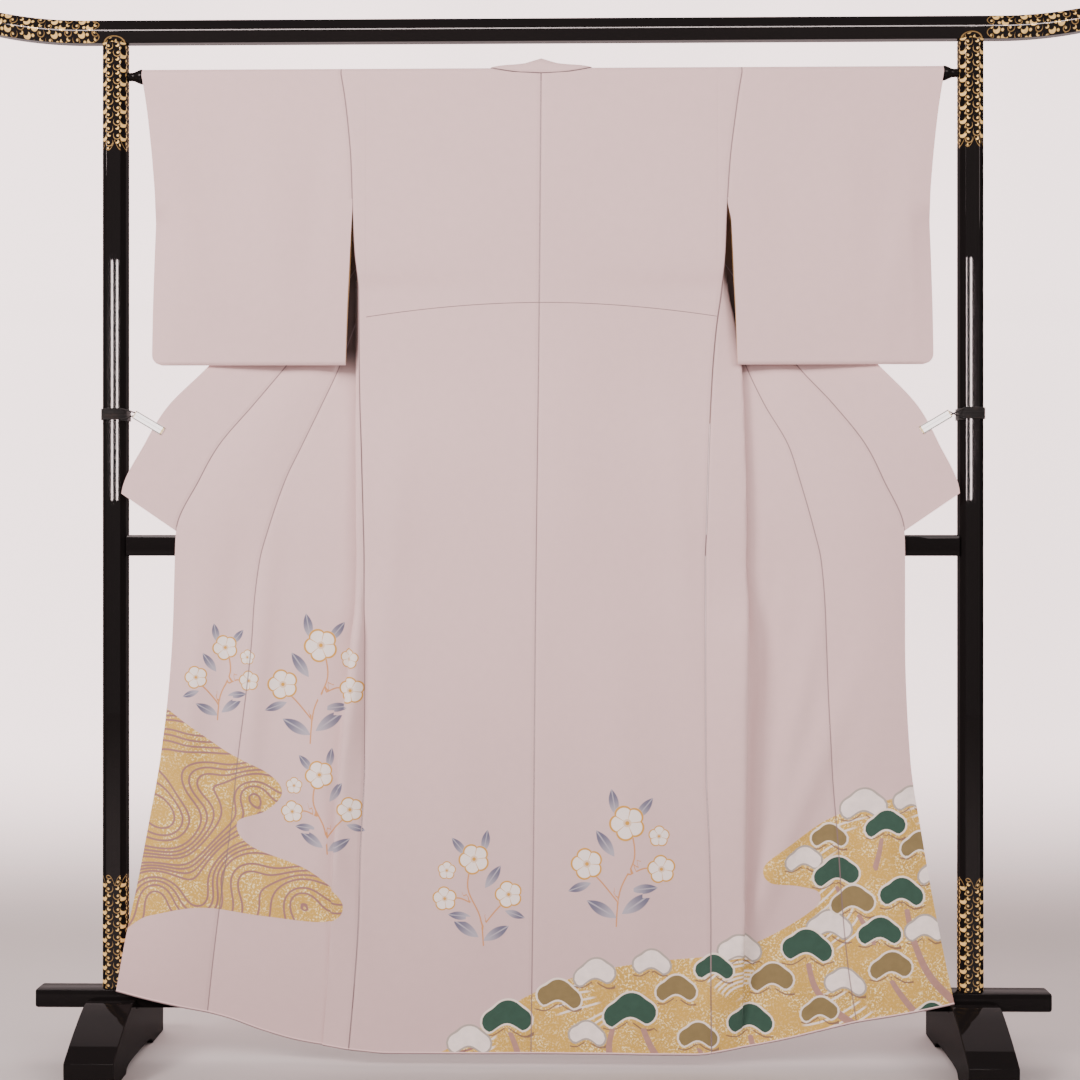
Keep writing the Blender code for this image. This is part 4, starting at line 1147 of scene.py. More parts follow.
TRUNKS = [
    stroke([(-0.052, 0.092), (-0.040, 0.062), (-0.030, 0.020)], 0.0060),
    stroke([(0.120, 0.100), (0.112, 0.066), (0.118, 0.020)], 0.0062),
    stroke([(0.166, 0.102), (0.182, 0.064), (0.212, 0.020)], 0.0066),
    stroke([(0.344, 0.086), (0.352, 0.056), (0.372, 0.020)], 0.0062),
    stroke([(0.258, 0.066), (0.268, 0.046), (0.276, 0.020)], 0.0050),
    stroke([(0.440, 0.204), (0.452, 0.160), (0.488, 0.120), (0.540, 0.086)], 0.0068),
    stroke([(0.520, 0.286), (0.534, 0.262), (0.550, 0.234)], 0.0052),
    stroke([(0.600, 0.296), (0.612, 0.240), (0.640, 0.180), (0.690, 0.130)], 0.0068),
    stroke([(0.574, 0.178), (0.592, 0.150), (0.640, 0.092)], 0.0060),
    stroke([(0.560, 0.410), (0.556, 0.386), (0.548, 0.356)], 0.0048),
    stroke([(0.486, 0.330), (0.494, 0.310), (0.500, 0.290)], 0.0048),
]
TWIGS = []
for its_tone, x, z, width in CLUMPS:
    for hand, drop in ((-1, -0.30), (1, -0.28), (1, -0.36)):
        TWIGS.append(stroke([(x + 0.02 * hand * width, z - 0.18 * width),
                             (x + 0.30 * hand * width, z - (0.26 - 0.3 * drop) * width),
                             (x + 0.56 * hand * width, z + drop * width)], 0.0011, 0.9))

# Each spray: its foot, its size, and 1 or -1 for the way it leans
SPRAYS = [((-0.382, 0.560), 0.95, 1), ((-0.352, 0.372), 0.80, -1), ((-0.536, 0.596), 0.72, 1),
          ((-0.094, 0.226), 0.86, -1), ((0.124, 0.262), 1.00, 1)]
SPRAY_STALKS = [[(0.0, 0.0), (0.006, 0.060), (0.030, 0.116), (0.022, 0.168)],
                [(0.004, 0.040), (-0.022, 0.072), (-0.042, 0.092)],
                [(0.016, 0.084), (0.046, 0.098), (0.064, 0.092)]]
SPRAY_BLOSSOMS = [((0.018, 0.172), 0.030), ((-0.048, 0.104), 0.027), ((0.074, 0.096), 0.024),
                  ((0.070, 0.150), 0.018)]
SPRAY_LEAVES = [((-0.024, 0.030), 0.028, 150), ((0.034, 0.040), 0.030, 35), ((-0.018, 0.138), 0.026, 125),
                ((0.046, 0.064), 0.022, 5), ((-0.004, 0.206), 0.022, 100), ((0.046, 0.196), 0.022, 50),
                ((-0.060, 0.066), 0.020, 200)]


def on_spray(spray, place):
    """Where a place of the spray's own drawing comes on the cloth."""
    (foot_x, foot_z), size, hand = spray
    return foot_x + hand * size * place[0], foot_z + size * place[1]


STALKS = [stroke([on_spray(spray, place) for place in line], 0.0012, 0.9)
          for spray in SPRAYS for line in SPRAY_STALKS]


def stroke_numbers(places, strokes, reach=0.016):
    """How far to the side of the nearest stroke's middle, and that stroke's half width there."""
    nearest = np.full(len(places), 1.0)
    aside = np.full(len(places), 1.0)
    width = np.full(len(places), -0.01)
    for curve, half_width, taper in strokes:
        low, high = curve.min(axis=0) - 0.03, curve.max(axis=0) + 0.03
        close = np.all((places > low) & (places < high), axis=1)
        if not close.any():
            continue
        near, hand, along = to_line(places[close], curve)
        took = near < nearest[close]
        index = np.flatnonzero(close)[took]
        nearest[index] = near[took]
        ended = (along[took] <= 0.0) | (along[took] >= 1.0)
        aside[index] = np.where(hand[took] < 0, -near[took], near[took])
        here = half_width * (taper + (1 - taper) * along[took])
        width[index] = np.where(ended | (near[took] > reach), -0.01, here)
    return aside, width


# %% [markdown]
# Blossoms and leaves are too small for numbers on the mesh. They are drawn by the shader from a
# formula instead, in the motif's own coordinates, where its middle is nought and its tip is one. Each
# face of the cloth is given the coordinates of the blossom and of the leaf nearest to it, as two more
# UV maps, and far away coordinates where none is near.

# %% Laying the design on a sheet
NO_MOTIF = 9.0


def motif_map(corners, motifs, margin=0.007):
    """Coordinates in the nearest motif for every corner of every face."""
    middle = corners.mean(axis=1)
    best = np.full(len(middle), 1.0)
    made = np.full(corners.shape, NO_MOTIF)
    for (x, z), size, turn in motifs:
        far = np.hypot(middle[:, 0] - x, middle[:, 1] - z) / (size + margin)
        took = far < best
        best[took] = far[took]
        gap = corners[took] - (x, z)
        cos, sin = math.cos(turn), math.sin(turn)
        made[took] = np.stack([gap[..., 0] * cos + gap[..., 1] * sin,
                               gap[..., 1] * cos - gap[..., 0] * sin], axis=-1) / size
    return made


BLOSSOMS, LEAVES = [], []
for spray in SPRAYS:
    size, hand = spray[1:]
    for place, radius in SPRAY_BLOSSOMS:
        BLOSSOMS.append((on_spray(spray, place), radius * size, place[0] * 40.0))
    for place, length, degrees in SPRAY_LEAVES:
        turn = math.radians(degrees if hand > 0 else 180 - degrees)
        LEAVES.append((on_spray(spray, place), length * size, turn))


def paint(piece, painted):
    """Puts the design's numbers and maps on a sheet, and its finish where there is any of it."""
    mesh = piece.data
    corners = np.empty(len(mesh.loops) * 2, dtype=np.float32)
    mesh.uv_layers["design"].data.foreach_get("uv", corners)
    corners = corners.reshape(-1, 4, 2).astype(float)
    loops = np.empty(len(mesh.loops), dtype=int)
    mesh.loops.foreach_get("vertex_index", loops)
    places = np.zeros((len(mesh.vertices), 2))
    places[loops] = corners.reshape(-1, 2)
    places += 1e-7

    flow, flow_rate = water(places)
    trunk_side, trunk_width = stroke_numbers(places, TRUNKS)
    twig_side, twig_width = stroke_numbers(places, TWIGS, reach=0.010)
    stalk_side, stalk_width = stroke_numbers(places, STALKS, reach=0.010)
    numbers = {"gold": gold_distance(places), "flow": flow, "flow_rate": flow_rate,
               "pale": clump_distance(places, "pale"), "olive": clump_distance(places, "olive"),
               "dark": clump_distance(places, "dark"), "trunk_side": trunk_side,
               "trunk_width": trunk_width, "twig_side": twig_side, "twig_width": twig_width,
               "stalk_side": stalk_side, "stalk_width": stalk_width}
    for name, values in numbers.items():
        mesh.attributes.new(name, "FLOAT", "POINT").data.foreach_set(
            "value", np.asarray(values, dtype=np.float32))
    blossom, leaf = motif_map(corners, BLOSSOMS), motif_map(corners, LEAVES)
    for name, made in (("blossom", blossom), ("leaf", leaf)):
        layer = mesh.uv_layers.new(name=name)
        layer.data.foreach_set("uv", made.astype(np.float32).ravel())

    near = np.minimum.reduce([numbers["gold"], numbers["pale"], numbers["olive"], numbers["dark"]])
    drawn = (near < 0.006) | (stalk_width > 0.0)
    drawn = drawn[loops].reshape(-1, 4).any(axis=1) | (blossom < NO_MOTIF).any(axis=(1, 2))
    drawn |= (leaf < NO_MOTIF).any(axis=(1, 2))
    slots = np.empty(len(mesh.polygons), dtype=int)
    mesh.polygons.foreach_get("material_index", slots)
    mesh.materials.append(painted)
    slots[(slots == 0) & drawn] = 2
    mesh.polygons.foreach_set("material_index", slots)
    print(piece.name, "painted faces", int((slots == 2).sum()))


# %% [markdown]
# The shader now lays one colour over another in the order a dyer would: gold, its water lines, the
# trunks, the pale clumps, the olive and then the dark ones, and the blossoms last. Every clump has a
# fine pale line left round it, as where a thread of paste kept the dye away.

# %% Painted silk
GOLD_GROUND = (0.590, 0.385, 0.078)
GOLD_FLECK = (0.95, 0.84, 0.44)
WATER_LINE = from_srgb(150, 112, 108)
PASTE_LINE = (0.88, 0.82, 0.72)
TONES = {"pale": (0.90, 0.84, 0.79), "olive": (0.215, 0.170, 0.072), "dark": (0.030, 0.080, 0.056)}
TRUNK = (0.40, 0.235, 0.195)
STALK = (0.60, 0.300, 0.120)
PETAL = (0.92, 0.88, 0.82)
PETAL_EDGE = (0.60, 0.330, 0.050)
LEAF_TONES = ((0.145, 0.150, 0.220), (0.400, 0.400, 0.460))


def gold_ground(finish, design, gold, ground):
    specks = finish.noise(design, 300.0, detail=2.0, distortion=0.6)
    drifts = finish.noise(design, 24.0, detail=2.0, roughness=0.7)
    flecks = specks.step(0.52, 0.60) * (0.20 + drifts.step(0.40, 0.60) * 0.75)
    tone = finish.scaled(GOLD_GROUND, 0.80 + finish.noise(design, 9.0) * 0.42)
    inside = 1 - gold.step(-0.0005, 0.0005)
    return finish.mix(inside, ground, finish.mix(flecks, tone, GOLD_FLECK)), inside


def water_lines(finish, design, x):
    flow, rate = finish.number("flow"), finish.number("flow_rate")
    beside = abs(flow.sum("FRACT") - 0.5) / rate.at_least(12.0)
    bundle = flow.sum("FLOOR").sum("FLOORED_MODULO", 5.0).below(3.5)
    patches = x.below(-0.1).at_least(finish.noise(design, 7.0, detail=0.0).step(0.56, 0.60))
    return (1 - beside.step(0.0012, 0.0022)) * bundle * patches


def strokes(finish, name, extra=0.0):
    side, width = finish.number(name + "_side"), finish.number(name + "_width")
    return 1 - (abs(side) - width - extra).step(-0.0003, 0.0004)


def blossom_masks(finish):
    """The petals, their gilded edges and veins, from the blossom's own coordinates."""
    u, v = finish.uv("blossom")[1:]
    far = (u * u + v * v).sum("SQRT")
    turn = v.sum("ARCTAN2", u) * 2.5
    petal = 0.80 + abs(turn.sum("COSINE")).sum("POWER", 0.7) * 0.20
    whole = 1 - far.step(petal - 0.02, petal + 0.02)
    core = 1 - far.step(petal - 0.14, petal - 0.10)
    gaps = (1 - abs(turn.sum("COSINE")).step(0.05, 0.12)) * far.above(0.22)
    heart = (1 - far.step(0.20, 0.25)) * (1 - far.step(0.10, 0.13) * 0.5)
    return whole, (whole - core).at_least(gaps * whole).at_least(heart)


def leaf_masks(finish):
    u, v = finish.uv("leaf")[1:]
    blade = 0.36 * (1 - u * u) - abs(v)
    whole = blade.step(-0.03, 0.03) * abs(u).below(1.0)
    vein = (1 - abs(v).step(0.02, 0.06)) * whole
    return whole, vein, u


def make_painted():
    finish = Finish("crepe_painted")
    design, x, z = finish.uv("design")
    # The ground gets the same painted shade, darker towards the hem
    ground = finish.scaled(MAUVE, towards_hem(z))
    colour, inside = gold_ground(finish, design, finish.number("gold"), ground)
    lines = water_lines(finish, design, x) * inside
    colour = finish.mix(lines, colour, finish.mix(x.above(-0.1), WATER_LINE, PASTE_LINE))
    trunk = strokes(finish, "trunk")
    bark = finish.scaled(TRUNK, 0.85 + finish.noise(design, 120.0) * 0.30)
    colour = finish.mix(strokes(finish, "twig") * 0.85, colour, finish.scaled(TRUNK, 0.45))
    colour = finish.mix(trunk, colour, bark)
    relief = inside * 0.00012 + trunk * 0.00012 + lines * 0.00008
    for tone, fill in TONES.items():
        away = finish.number(tone)
        body = 1 - away.step(-0.0004, 0.0004)
        rim = 1 - away.step(0.0028, 0.0036)
        dye = finish.scaled(fill, 0.84 + finish.noise(design, 75.0, detail=3.0) * 0.32)
        colour = finish.mix(rim, colour, finish.scaled(PASTE_LINE, 0.45 if tone == "pale" else 0.95))
        colour = finish.mix(body, colour, dye)
        relief = relief + rim * 0.00010 + body * 0.00006
    colour = finish.mix(strokes(finish, "stalk"), colour, STALK)
    leaf, vein, u = leaf_masks(finish)
    leaf_tone = finish.mix(u.step(-0.9, 0.6), LEAF_TONES[1], LEAF_TONES[0])
    colour = finish.mix(leaf, colour, leaf_tone)
    colour = finish.mix(vein, colour, LEAF_TONES[1])
    whole, edges = blossom_masks(finish)
    colour = finish.mix(whole, colour, PETAL)
    colour = finish.mix(edges, colour, PETAL_EDGE)
    relief = relief + whole * 0.00012 + edges * 0.00008 + leaf * 0.00008
    return crepe(finish, colour, relief)


painted_silk = make_painted()
print("painted silk nodes:", len(painted_silk.node_tree.nodes))

# %% [markdown]
# The stand is black lacquer over wood. Lacquer is nearly black and very smooth, so what we see of it
# is what it mirrors: it needs crisp rounded edges that catch the lamps more than it needs colour. Its
# finish is a dark base, a shallow ripple from the brush, and a little uneven gloss from handling.
#
# Near the joints the lacquer carries scrolls in gold. They are drawn on a grid of small cells, each
# with a comma-shaped leaf and a coiled tendril, every second column set half a cell down.

# %% Lacquer, plain and with gold scrolls
LACQUER_BLACK = (0.0075, 0.0068, 0.0068)
GOLD_LEAF = from_srgb(240, 204, 124)
GOLD_THREAD = from_srgb(150, 124, 78)
SCROLL_CELL = 0.0230
# How metallic the gold is, how much duller than the lacquer, and how thick
GOLD_METAL, GOLD_DULLER, GOLD_THICKNESS = 0.25, 0.22, 0.00012


def lacquer_base(finish):
    """How uneven the gloss is, and the brushed ripple as a height in metres."""
    places = finish.places()
    handling = finish.noise(places, 9.0, detail=3.0)
    ripple = finish.noise(places, 26.0, detail=1.0)
    return 0.10 + handling * 0.10, ripple * 0.00006


def scrolls(across, along):
    """Masks for the gold leaves and the thinner tendrils, from two lengths on the surface."""
    column = (across / SCROLL_CELL).sum("FLOOR")
    odd = column.sum("FLOORED_MODULO", 2.0)
    u = (across / SCROLL_CELL).sum("FRACT") - 0.5
    v = (along / SCROLL_CELL + odd * 0.5).sum("FRACT") - 0.5
    u = u * (1 - odd * 2)
    coil_u, coil_v = u + 0.16, v + 0.20
    far = (coil_u * coil_u + coil_v * coil_v).sum("SQRT")
    turn = coil_v.sum("ARCTAN2", coil_u) / (2 * math.pi)
    coil = abs((turn + far * 3.0).sum("FRACT") - 0.5)
    tendril = (1 - coil.step(0.07, 0.13)) * far.above(0.05) * far.below(0.34)

    def disc(x, y, radius):
        du, dv = u - x, v - y
        return 1 - (du * du + dv * dv).sum("SQRT").step(radius - 0.03, radius + 0.03)

    leaf = disc(0.20, 0.16, 0.25) * (1 - disc(0.11, 0.36, 0.21))
    hook = disc(-0.20, 0.36, 0.13) * (1 - disc(-0.28, 0.44, 0.12))
    bud = disc(-0.16, -0.20, 0.07).at_least(disc(0.38, -0.34, 0.10))
    return leaf.at_least(hook).at_least(bud), tendril


def lacquer(name, gilded=None, coat=0.16, polished=None):
    """Black lacquer. gilded, where given, returns where gold may lie and where its border runs.
    Where polished is given, only what lies in front of that depth is polished bright."""
    finish = Finish(name)
    gloss, height = lacquer_base(finish)
    if polished is not None:
        coat = 0.02 + finish.axes(finish.places())[1].below(polished) * coat
    colour, metal = LACQUER_BLACK, 0.0
    if gilded is not None:
        laid, across, along = finish.uv("laid")
        inside, border = gilded(across, along)
        leaf, tendril = scrolls(across, along)
        leaf, tendril = leaf * inside, tendril * inside
        tendril = tendril.at_least(border)
        dim = finish.noise(laid, 120.0, detail=2.0)
        colour = finish.mix(tendril, colour, finish.scaled(GOLD_THREAD, 0.45 + dim * 1.1))
        colour = finish.mix(leaf, colour, finish.scaled(GOLD_LEAF, 0.60 + dim * 1.1))
        gold = leaf.at_least(tendril)
        metal = gold * GOLD_METAL
        gloss = gloss + gold * GOLD_DULLER
        height = height + gold * GOLD_THICKNESS
    return finish.set(base_color=colour, metallic=metal, roughness=gloss,
                      normal=finish.bump(height), specular_ior_level=0.0,
                      coat_weight=coat, coat_roughness=0.015)


# %% Sizes of the stand
POST_X = 0.712
POST_HALF = 0.0195
POST_CHAMFER = 0.008
TOP_RAIL = (1.7275, 1.7655)
RAIL_MIDDLE = sum(TOP_RAIL) / 2
TOP_RAIL_HALF = 0.955
TOP_RAIL_DEPTH = 0.019
MID_RAIL = (0.8715, 0.9065)
MID_RAIL_DEPTH = 0.0175
BASE_RAIL = (0.1200, 0.1510)
BASE_RAIL_HALF = 0.842
BASE_RAIL_DEPTH = 0.0225
FOOT_WIDTH = 0.080
FOOT_REACH = 0.173
ROD_RADIUS = 0.009
ROD_HALF = 0.676
CUP_MOUTH = 0.668
CUP_RADIUS = 0.0125

# %% [markdown]
# On a post the gold fills the top and the foot, and ends in a scalloped edge with a fine border. On
# the top rail it fills the ends past the posts, and an arch where each post comes in under it.

# %% Where the gold lies
POST_GOLD = (0.341, 1.546)
SCALLOP = 0.017
SCALLOP_WIDTH = 0.0215
RAIL_GOLD = 0.7360
RAIL_FACET = 0.0095
RAIL_CURVE = 0.011
ARCH_HALF, ARCH_HEIGHT = 0.0185, 0.0115
BORDER = 0.0016


def band(inner):
    """Inside from a signed distance, and the border line along its edge."""
    inside = inner.step(0.0, 0.0006)
    return inner.above(BORDER * 1.6) * inside, inside * (1 - inner.step(BORDER, BORDER * 1.25))


def post_gold(across, along):
    reach = abs((across / SCALLOP_WIDTH + 0.38).sum("FRACT") - 0.5) * 2
    dip = (1 - reach) * (1 - reach) * SCALLOP
    upper = along - POST_GOLD[1] - dip
    lower = POST_GOLD[0] - dip - along
    return band(upper.at_least(lower))


def rail_gold(across, along):
    outward = abs(across)
    facet = abs(along - RAIL_MIDDLE)
    reach = abs(facet / RAIL_FACET - 1)
    ends = outward - RAIL_GOLD - reach * reach * RAIL_CURVE
    aside = (outward - POST_X) / ARCH_HALF
    rise = (along - TOP_RAIL[0]) / ARCH_HEIGHT
    arch = (1 - (aside * aside + rise * rise).sum("SQRT")) * ARCH_HEIGHT
    return band(ends.at_least(arch))


lacquer_plain = lacquer("lacquer")
lacquer_post = lacquer("lacquer_post", post_gold, coat=0.50, polished=-0.0192)
lacquer_rail = lacquer("lacquer_rail", rail_gold, coat=0.28)
print("lacquer nodes:", [len(m.node_tree.nodes) for m in (lacquer_plain, lacquer_post, lacquer_rail)])

# %% [markdown]
# The joinery is modelled as a joiner would cut it: a block, its corners taken off, then a hair's
# breadth of rounding on every edge. A few helpers do what we would do by hand. They put down a block
# or a bar, enter edit mode on it, pick faces or edges by where they are, extrude what is picked, and
# mirror a finished half. The last one finishes the piece: it rounds the sharp edges with a Bevel
# modifier, applies it, and lays a UV map in metres on each face.

# %% Helpers for modelling by hand
def pick_piece(piece):
    """Selects one piece alone and makes it the active one."""
    deselect_all()
    piece.select_set(True)
    bpy.context.view_layer.objects.active = piece


def open_piece(piece):
    """Enters edit mode on one piece alone."""
    pick_piece(piece)
    bpy.ops.object.mode_set(mode="EDIT")


def pick_faces(piece, wanted):
    """Selects the faces for which wanted(centre, normal) is true."""
    bpy.ops.mesh.select_mode(type="FACE")
    bpy.ops.mesh.select_all(action="DESELECT")
    mesh = bmesh.from_edit_mesh(piece.data)
    mesh.normal_update()
    for face in mesh.faces:
        face.select_set(bool(wanted(face.calc_center_median(), face.normal)))
    bmesh.update_edit_mesh(piece.data)


def pick_edges(piece, wanted):
    """Selects the edges for which wanted(first end, second end) is true."""
    bpy.ops.mesh.select_mode(type="EDGE")
    bpy.ops.mesh.select_all(action="DESELECT")
    mesh = bmesh.from_edit_mesh(piece.data)
    for edge in mesh.edges:
        edge.select_set(bool(wanted(edge.verts[0].co, edge.verts[1].co)))
    bmesh.update_edit_mesh(piece.data)


def add_block(name, low, high):
    """A cube primitive, stretched to a box and open in edit mode."""
    deselect_all()
    centre = [(a + b) / 2 for a, b in zip(low, high)]
    bpy.ops.mesh.primitive_cube_add(size=1.0, location=centre)
    piece = bpy.context.object
    piece.name = name
    piece.scale = [b - a for a, b in zip(low, high)]
    bpy.ops.object.transform_apply(location=True, rotation=True, scale=True)
    open_piece(piece)
    return piece


def add_bar(name, sides, radius, ends, height):
    """A cylinder primitive laid along X from end to end, and open in edit mode."""
    low, high = sorted(ends)
    deselect_all()
    bpy.ops.mesh.primitive_cylinder_add(vertices=sides, radius=radius, depth=high - low,
                                        location=((low + high) / 2, 0.0, height),
                                        rotation=(0.0, math.pi / 2, 0.0))
    piece = bpy.context.object
    piece.name = name
    bpy.ops.object.transform_apply(location=True, rotation=True, scale=True)
    open_piece(piece)
    return piece


def extrude(x, y, z):
    """Extrudes the picked faces by this much."""
    bpy.ops.mesh.extrude_region_move(TRANSFORM_OT_translate={"value": (x, y, z)})


def mirror_half(piece, axis):
    """Leaves edit mode and adds the half's mirror image on one axis, joined where they meet."""
    bpy.ops.object.mode_set(mode="OBJECT")
    mirror = piece.modifiers.new("mirror", "MIRROR")
    mirror.use_axis = [letter == axis for letter in "XYZ"]
    mirror.merge_threshold = 0.0001
    bpy.ops.object.modifier_apply(modifier=mirror.name)


def lay_map(piece, centre_x):
    """A UV map in metres: each face is laid flat along the two axes that it faces least."""
    layer = piece.data.uv_layers.get("laid") or piece.data.uv_layers.new(name="laid")
    for face in piece.data.polygons:
        facing = [abs(part) for part in face.normal]
        main = facing.index(max(facing))
        for corner in face.loop_indices:
            x, y, z = piece.data.vertices[piece.data.loops[corner].vertex_index].co
            layer.data[corner].uv = {0: (y, z), 1: (x - centre_x, z), 2: (x - centre_x, y)}[main]


def finish_piece(piece, finish, rounding=0.0008, centre_x=0.0, smooth_below=35.0):
    """Leaves edit mode, rounds the sharp edges, smooths the rest and gives the finish."""
    if bpy.context.mode == "EDIT_MESH":
        bpy.ops.mesh.select_all(action="SELECT")
        bpy.ops.mesh.normals_make_consistent(inside=False)
        bpy.ops.object.mode_set(mode="OBJECT")
    pick_piece(piece)
    bpy.ops.object.shade_smooth_by_angle(angle=math.radians(smooth_below))
    if rounding:
        bevel = piece.modifiers.new("rounding", "BEVEL")
        bevel.width = rounding
        bevel.segments = 3
        bevel.limit_method = "ANGLE"
        bevel.angle_limit = math.radians(smooth_below)
        bevel.harden_normals = True
        bpy.ops.object.modifier_apply(modifier=bevel.name)
    for old in [layer.name for layer in piece.data.uv_layers]:
        piece.data.uv_layers.remove(piece.data.uv_layers[old])
    lay_map(piece, centre_x)
    piece.data.materials.clear()
    piece.data.materials.append(finish)
    print(piece.name, "faces", len(piece.data.polygons))
    return piece


# %% [markdown]
# A post is a square block whose corners are cut off at a slant. Its faces are left quite flat: the
# two thin bright lines that run down each post are mirrored, and a curved face would spread them.

# %% Posts
def add_post(side):
    x = SIDES[side] * POST_X
    low, high = BASE_RAIL[1] + SEAM, TOP_RAIL[0] - SEAM
    piece = add_block("post_lacquered_" + side, (x - POST_HALF, -POST_HALF, low),
                      (x + POST_HALF, POST_HALF, high))
    pick_edges(piece, lambda a, b: abs(a.z - b.z) > 1.0)
    bpy.ops.mesh.bevel(offset=POST_CHAMFER, segments=1, affect="EDGES")
    finish_piece(piece, lacquer_post, centre_x=x, rounding=0.0008, smooth_below=30.0)
    return hang(piece, "post_" + side, slot="lacquer")


for side in SIDES:
    add_post(side)

# %% [markdown]
# The top rail is six-sided, like a roof over a roof, and its ends sweep up past the posts. We make
# the right half from a six-sided bar: its end face is extruded in short steps, each a little higher
# than the last, and a Mirror modifier makes the left half.

# %% Top rail
RAIL_STRAIGHT = 0.76
RAIL_RISE = 0.026
RAIL_STEPS = 12
RIDGE_FLAT = 0.0020


def add_top_rail():
    piece = add_bar("top_rail_lacquered", 6, TOP_RAIL_DEPTH, (0.0, RAIL_STRAIGHT), RAIL_MIDDLE)
    widest = max((v.co for v in piece.data.vertices), key=lambda place: abs(place.y))
    corner_in_front = abs(widest.z - RAIL_MIDDLE) < 1e-4
    half = (TOP_RAIL[1] - TOP_RAIL[0]) / 2
    bpy.ops.mesh.select_all(action="SELECT")
    if not corner_in_front:
        bpy.ops.transform.rotate(value=math.pi / 2, orient_axis="X", orient_type="GLOBAL",
                                 center_override=(0.0, 0.0, RAIL_MIDDLE))
    stretch = half / (TOP_RAIL_DEPTH * math.sin(math.pi / 3))
    bpy.ops.transform.resize(value=(1.0, 1.0, stretch), center_override=(0.0, 0.0, RAIL_MIDDLE))
    before = (RAIL_STRAIGHT, 0.0)
    for k in range(1, RAIL_STEPS + 1):
        share = k / RAIL_STEPS
        after = (RAIL_STRAIGHT + (TOP_RAIL_HALF - RAIL_STRAIGHT) * share, RAIL_RISE * share**2)
        pick_faces(piece, lambda centre, normal: normal.x > 0.9 and centre.x > before[0] - 0.001)
        extrude(after[0] - before[0], 0.0, after[1] - before[1])
        before = after
    pick_faces(piece, lambda centre, normal: centre.x < 0.001)
    bpy.ops.mesh.delete(type="FACE")
    # The front ridge is planed flat, and this narrow flat is what shines along the whole rail
    pick_edges(piece, lambda a, b: max(a.y, b.y) < RIDGE_FLAT / 4 - TOP_RAIL_DEPTH)
    bpy.ops.mesh.bevel(offset=RIDGE_FLAT, segments=1, affect="EDGES")
    mirror_half(piece, "X")
    finish_piece(piece, lacquer_rail, rounding=0.0010, smooth_below=25.0)
    return hang(piece, "top_rail", slot="lacquer")


add_top_rail()

# %% [markdown]
# The middle rail runs between the posts behind the garment, and the base rail lies across both feet
# and carries the posts. Both are plain bars. Their corners are taken off in two small cuts, so that
# each edge shows as a narrow bright line where it turns up to the light.

# %% Middle and base rails
def add_rail(name, half_length, heights, depth, corner):
    piece = add_block(name + "_lacquered", (-half_length, -depth, heights[0]),
                      (half_length, depth, heights[1]))
    bpy.ops.mesh.select_all(action="SELECT")
    bpy.ops.mesh.bevel(offset=corner, segments=2, affect="EDGES")
    finish_piece(piece, lacquer_plain, rounding=0.0004, smooth_below=30.0)
    return hang(piece, name, slot="lacquer")


add_rail("mid_rail", POST_X - POST_HALF - SEAM, MID_RAIL, MID_RAIL_DEPTH, 0.0035)
add_rail("base_rail", BASE_RAIL_HALF, BASE_RAIL, BASE_RAIL_DEPTH, 0.0042)

# %% [markdown]
# Each foot is a low bridge from a front toe to a back toe, notched on top for the base rail. The
# front half starts as the toe's block. Its back face is extruded step by step towards the middle, and
# after each step the new face's upper and lower edges are moved to where the foot's outline has them.
# The last step starts at the notch's floor. The back half is the front half's mirror image.

# %% Feet
# The outline from the toe to the notch: y, the height of the top, and the height of the underside
FOOT_LINE = [(-0.1650, 0.0760, FLOOR), (-0.1500, 0.0850, FLOOR), (-0.1300, 0.0965, FLOOR),
             (-0.1100, 0.1070, FLOOR), (-0.0930, 0.1152, FLOOR), (-0.0880, 0.1175, 0.0370),
             (-0.0780, 0.1222, 0.0410), (-0.0700, 0.1255, 0.0415), (-0.0520, 0.1325, 0.0428),
             (-0.0420, 0.1345, 0.0430), (-BASE_RAIL_DEPTH - SEAM, 0.1345, 0.0430)]
TOE_TOP = 0.0705
NOTCH_FLOOR = BASE_RAIL[0] - SEAM


def add_foot(side):
    x = SIDES[side] * POST_X
    place, top_now, under_now = FOOT_LINE[0]
    piece = add_block("foot_lacquered_" + side, (x - FOOT_WIDTH / 2, -FOOT_REACH, FLOOR),
                      (x + FOOT_WIDTH / 2, place, top_now))
    pick_edges(piece, lambda a, b: max(a.y, b.y) < place - 0.001 and min(a.z, b.z) > top_now - 0.001)
    bpy.ops.transform.translate(value=(0.0, 0.0, TOE_TOP - top_now))
    for y, top, underside in FOOT_LINE[1:]:
        pick_faces(piece, lambda centre, normal: normal.y > 0.9 and centre.y > place - 0.001)
        extrude(0.0, y - place, 0.0)
        middle = (top_now + under_now) / 2
        pick_edges(piece, lambda a, b: min(a.y, b.y) > y - 0.0005 and min(a.z, b.z) > middle)
        bpy.ops.transform.translate(value=(0.0, 0.0, top - top_now))
        pick_edges(piece, lambda a, b: min(a.y, b.y) > y - 0.0005 and max(a.z, b.z) < middle)
        bpy.ops.transform.translate(value=(0.0, 0.0, underside - under_now))
        place, top_now, under_now = y, top, underside
    # One bisection across the last face marks the notch's floor, and only the part below goes on
    bpy.ops.mesh.select_all(action="SELECT")
    bpy.ops.mesh.bisect(plane_co=(0.0, 0.0, NOTCH_FLOOR), plane_no=(0.0, 0.0, 1.0))
    pick_faces(piece, lambda centre, normal: normal.y > 0.9 and centre.y > place - 0.001
               and centre.z < NOTCH_FLOOR)
    extrude(0.0, -place, 0.0)
    pick_faces(piece, lambda centre, normal: centre.y > -0.0001)
    bpy.ops.mesh.delete(type="FACE")
    mirror_half(piece, "Y")
    finish_piece(piece, lacquer_plain, rounding=0.0016, smooth_below=28.0)
    return hang(piece, "foot_" + side, slot="lacquer")


for side in SIDES:
    add_foot(side)

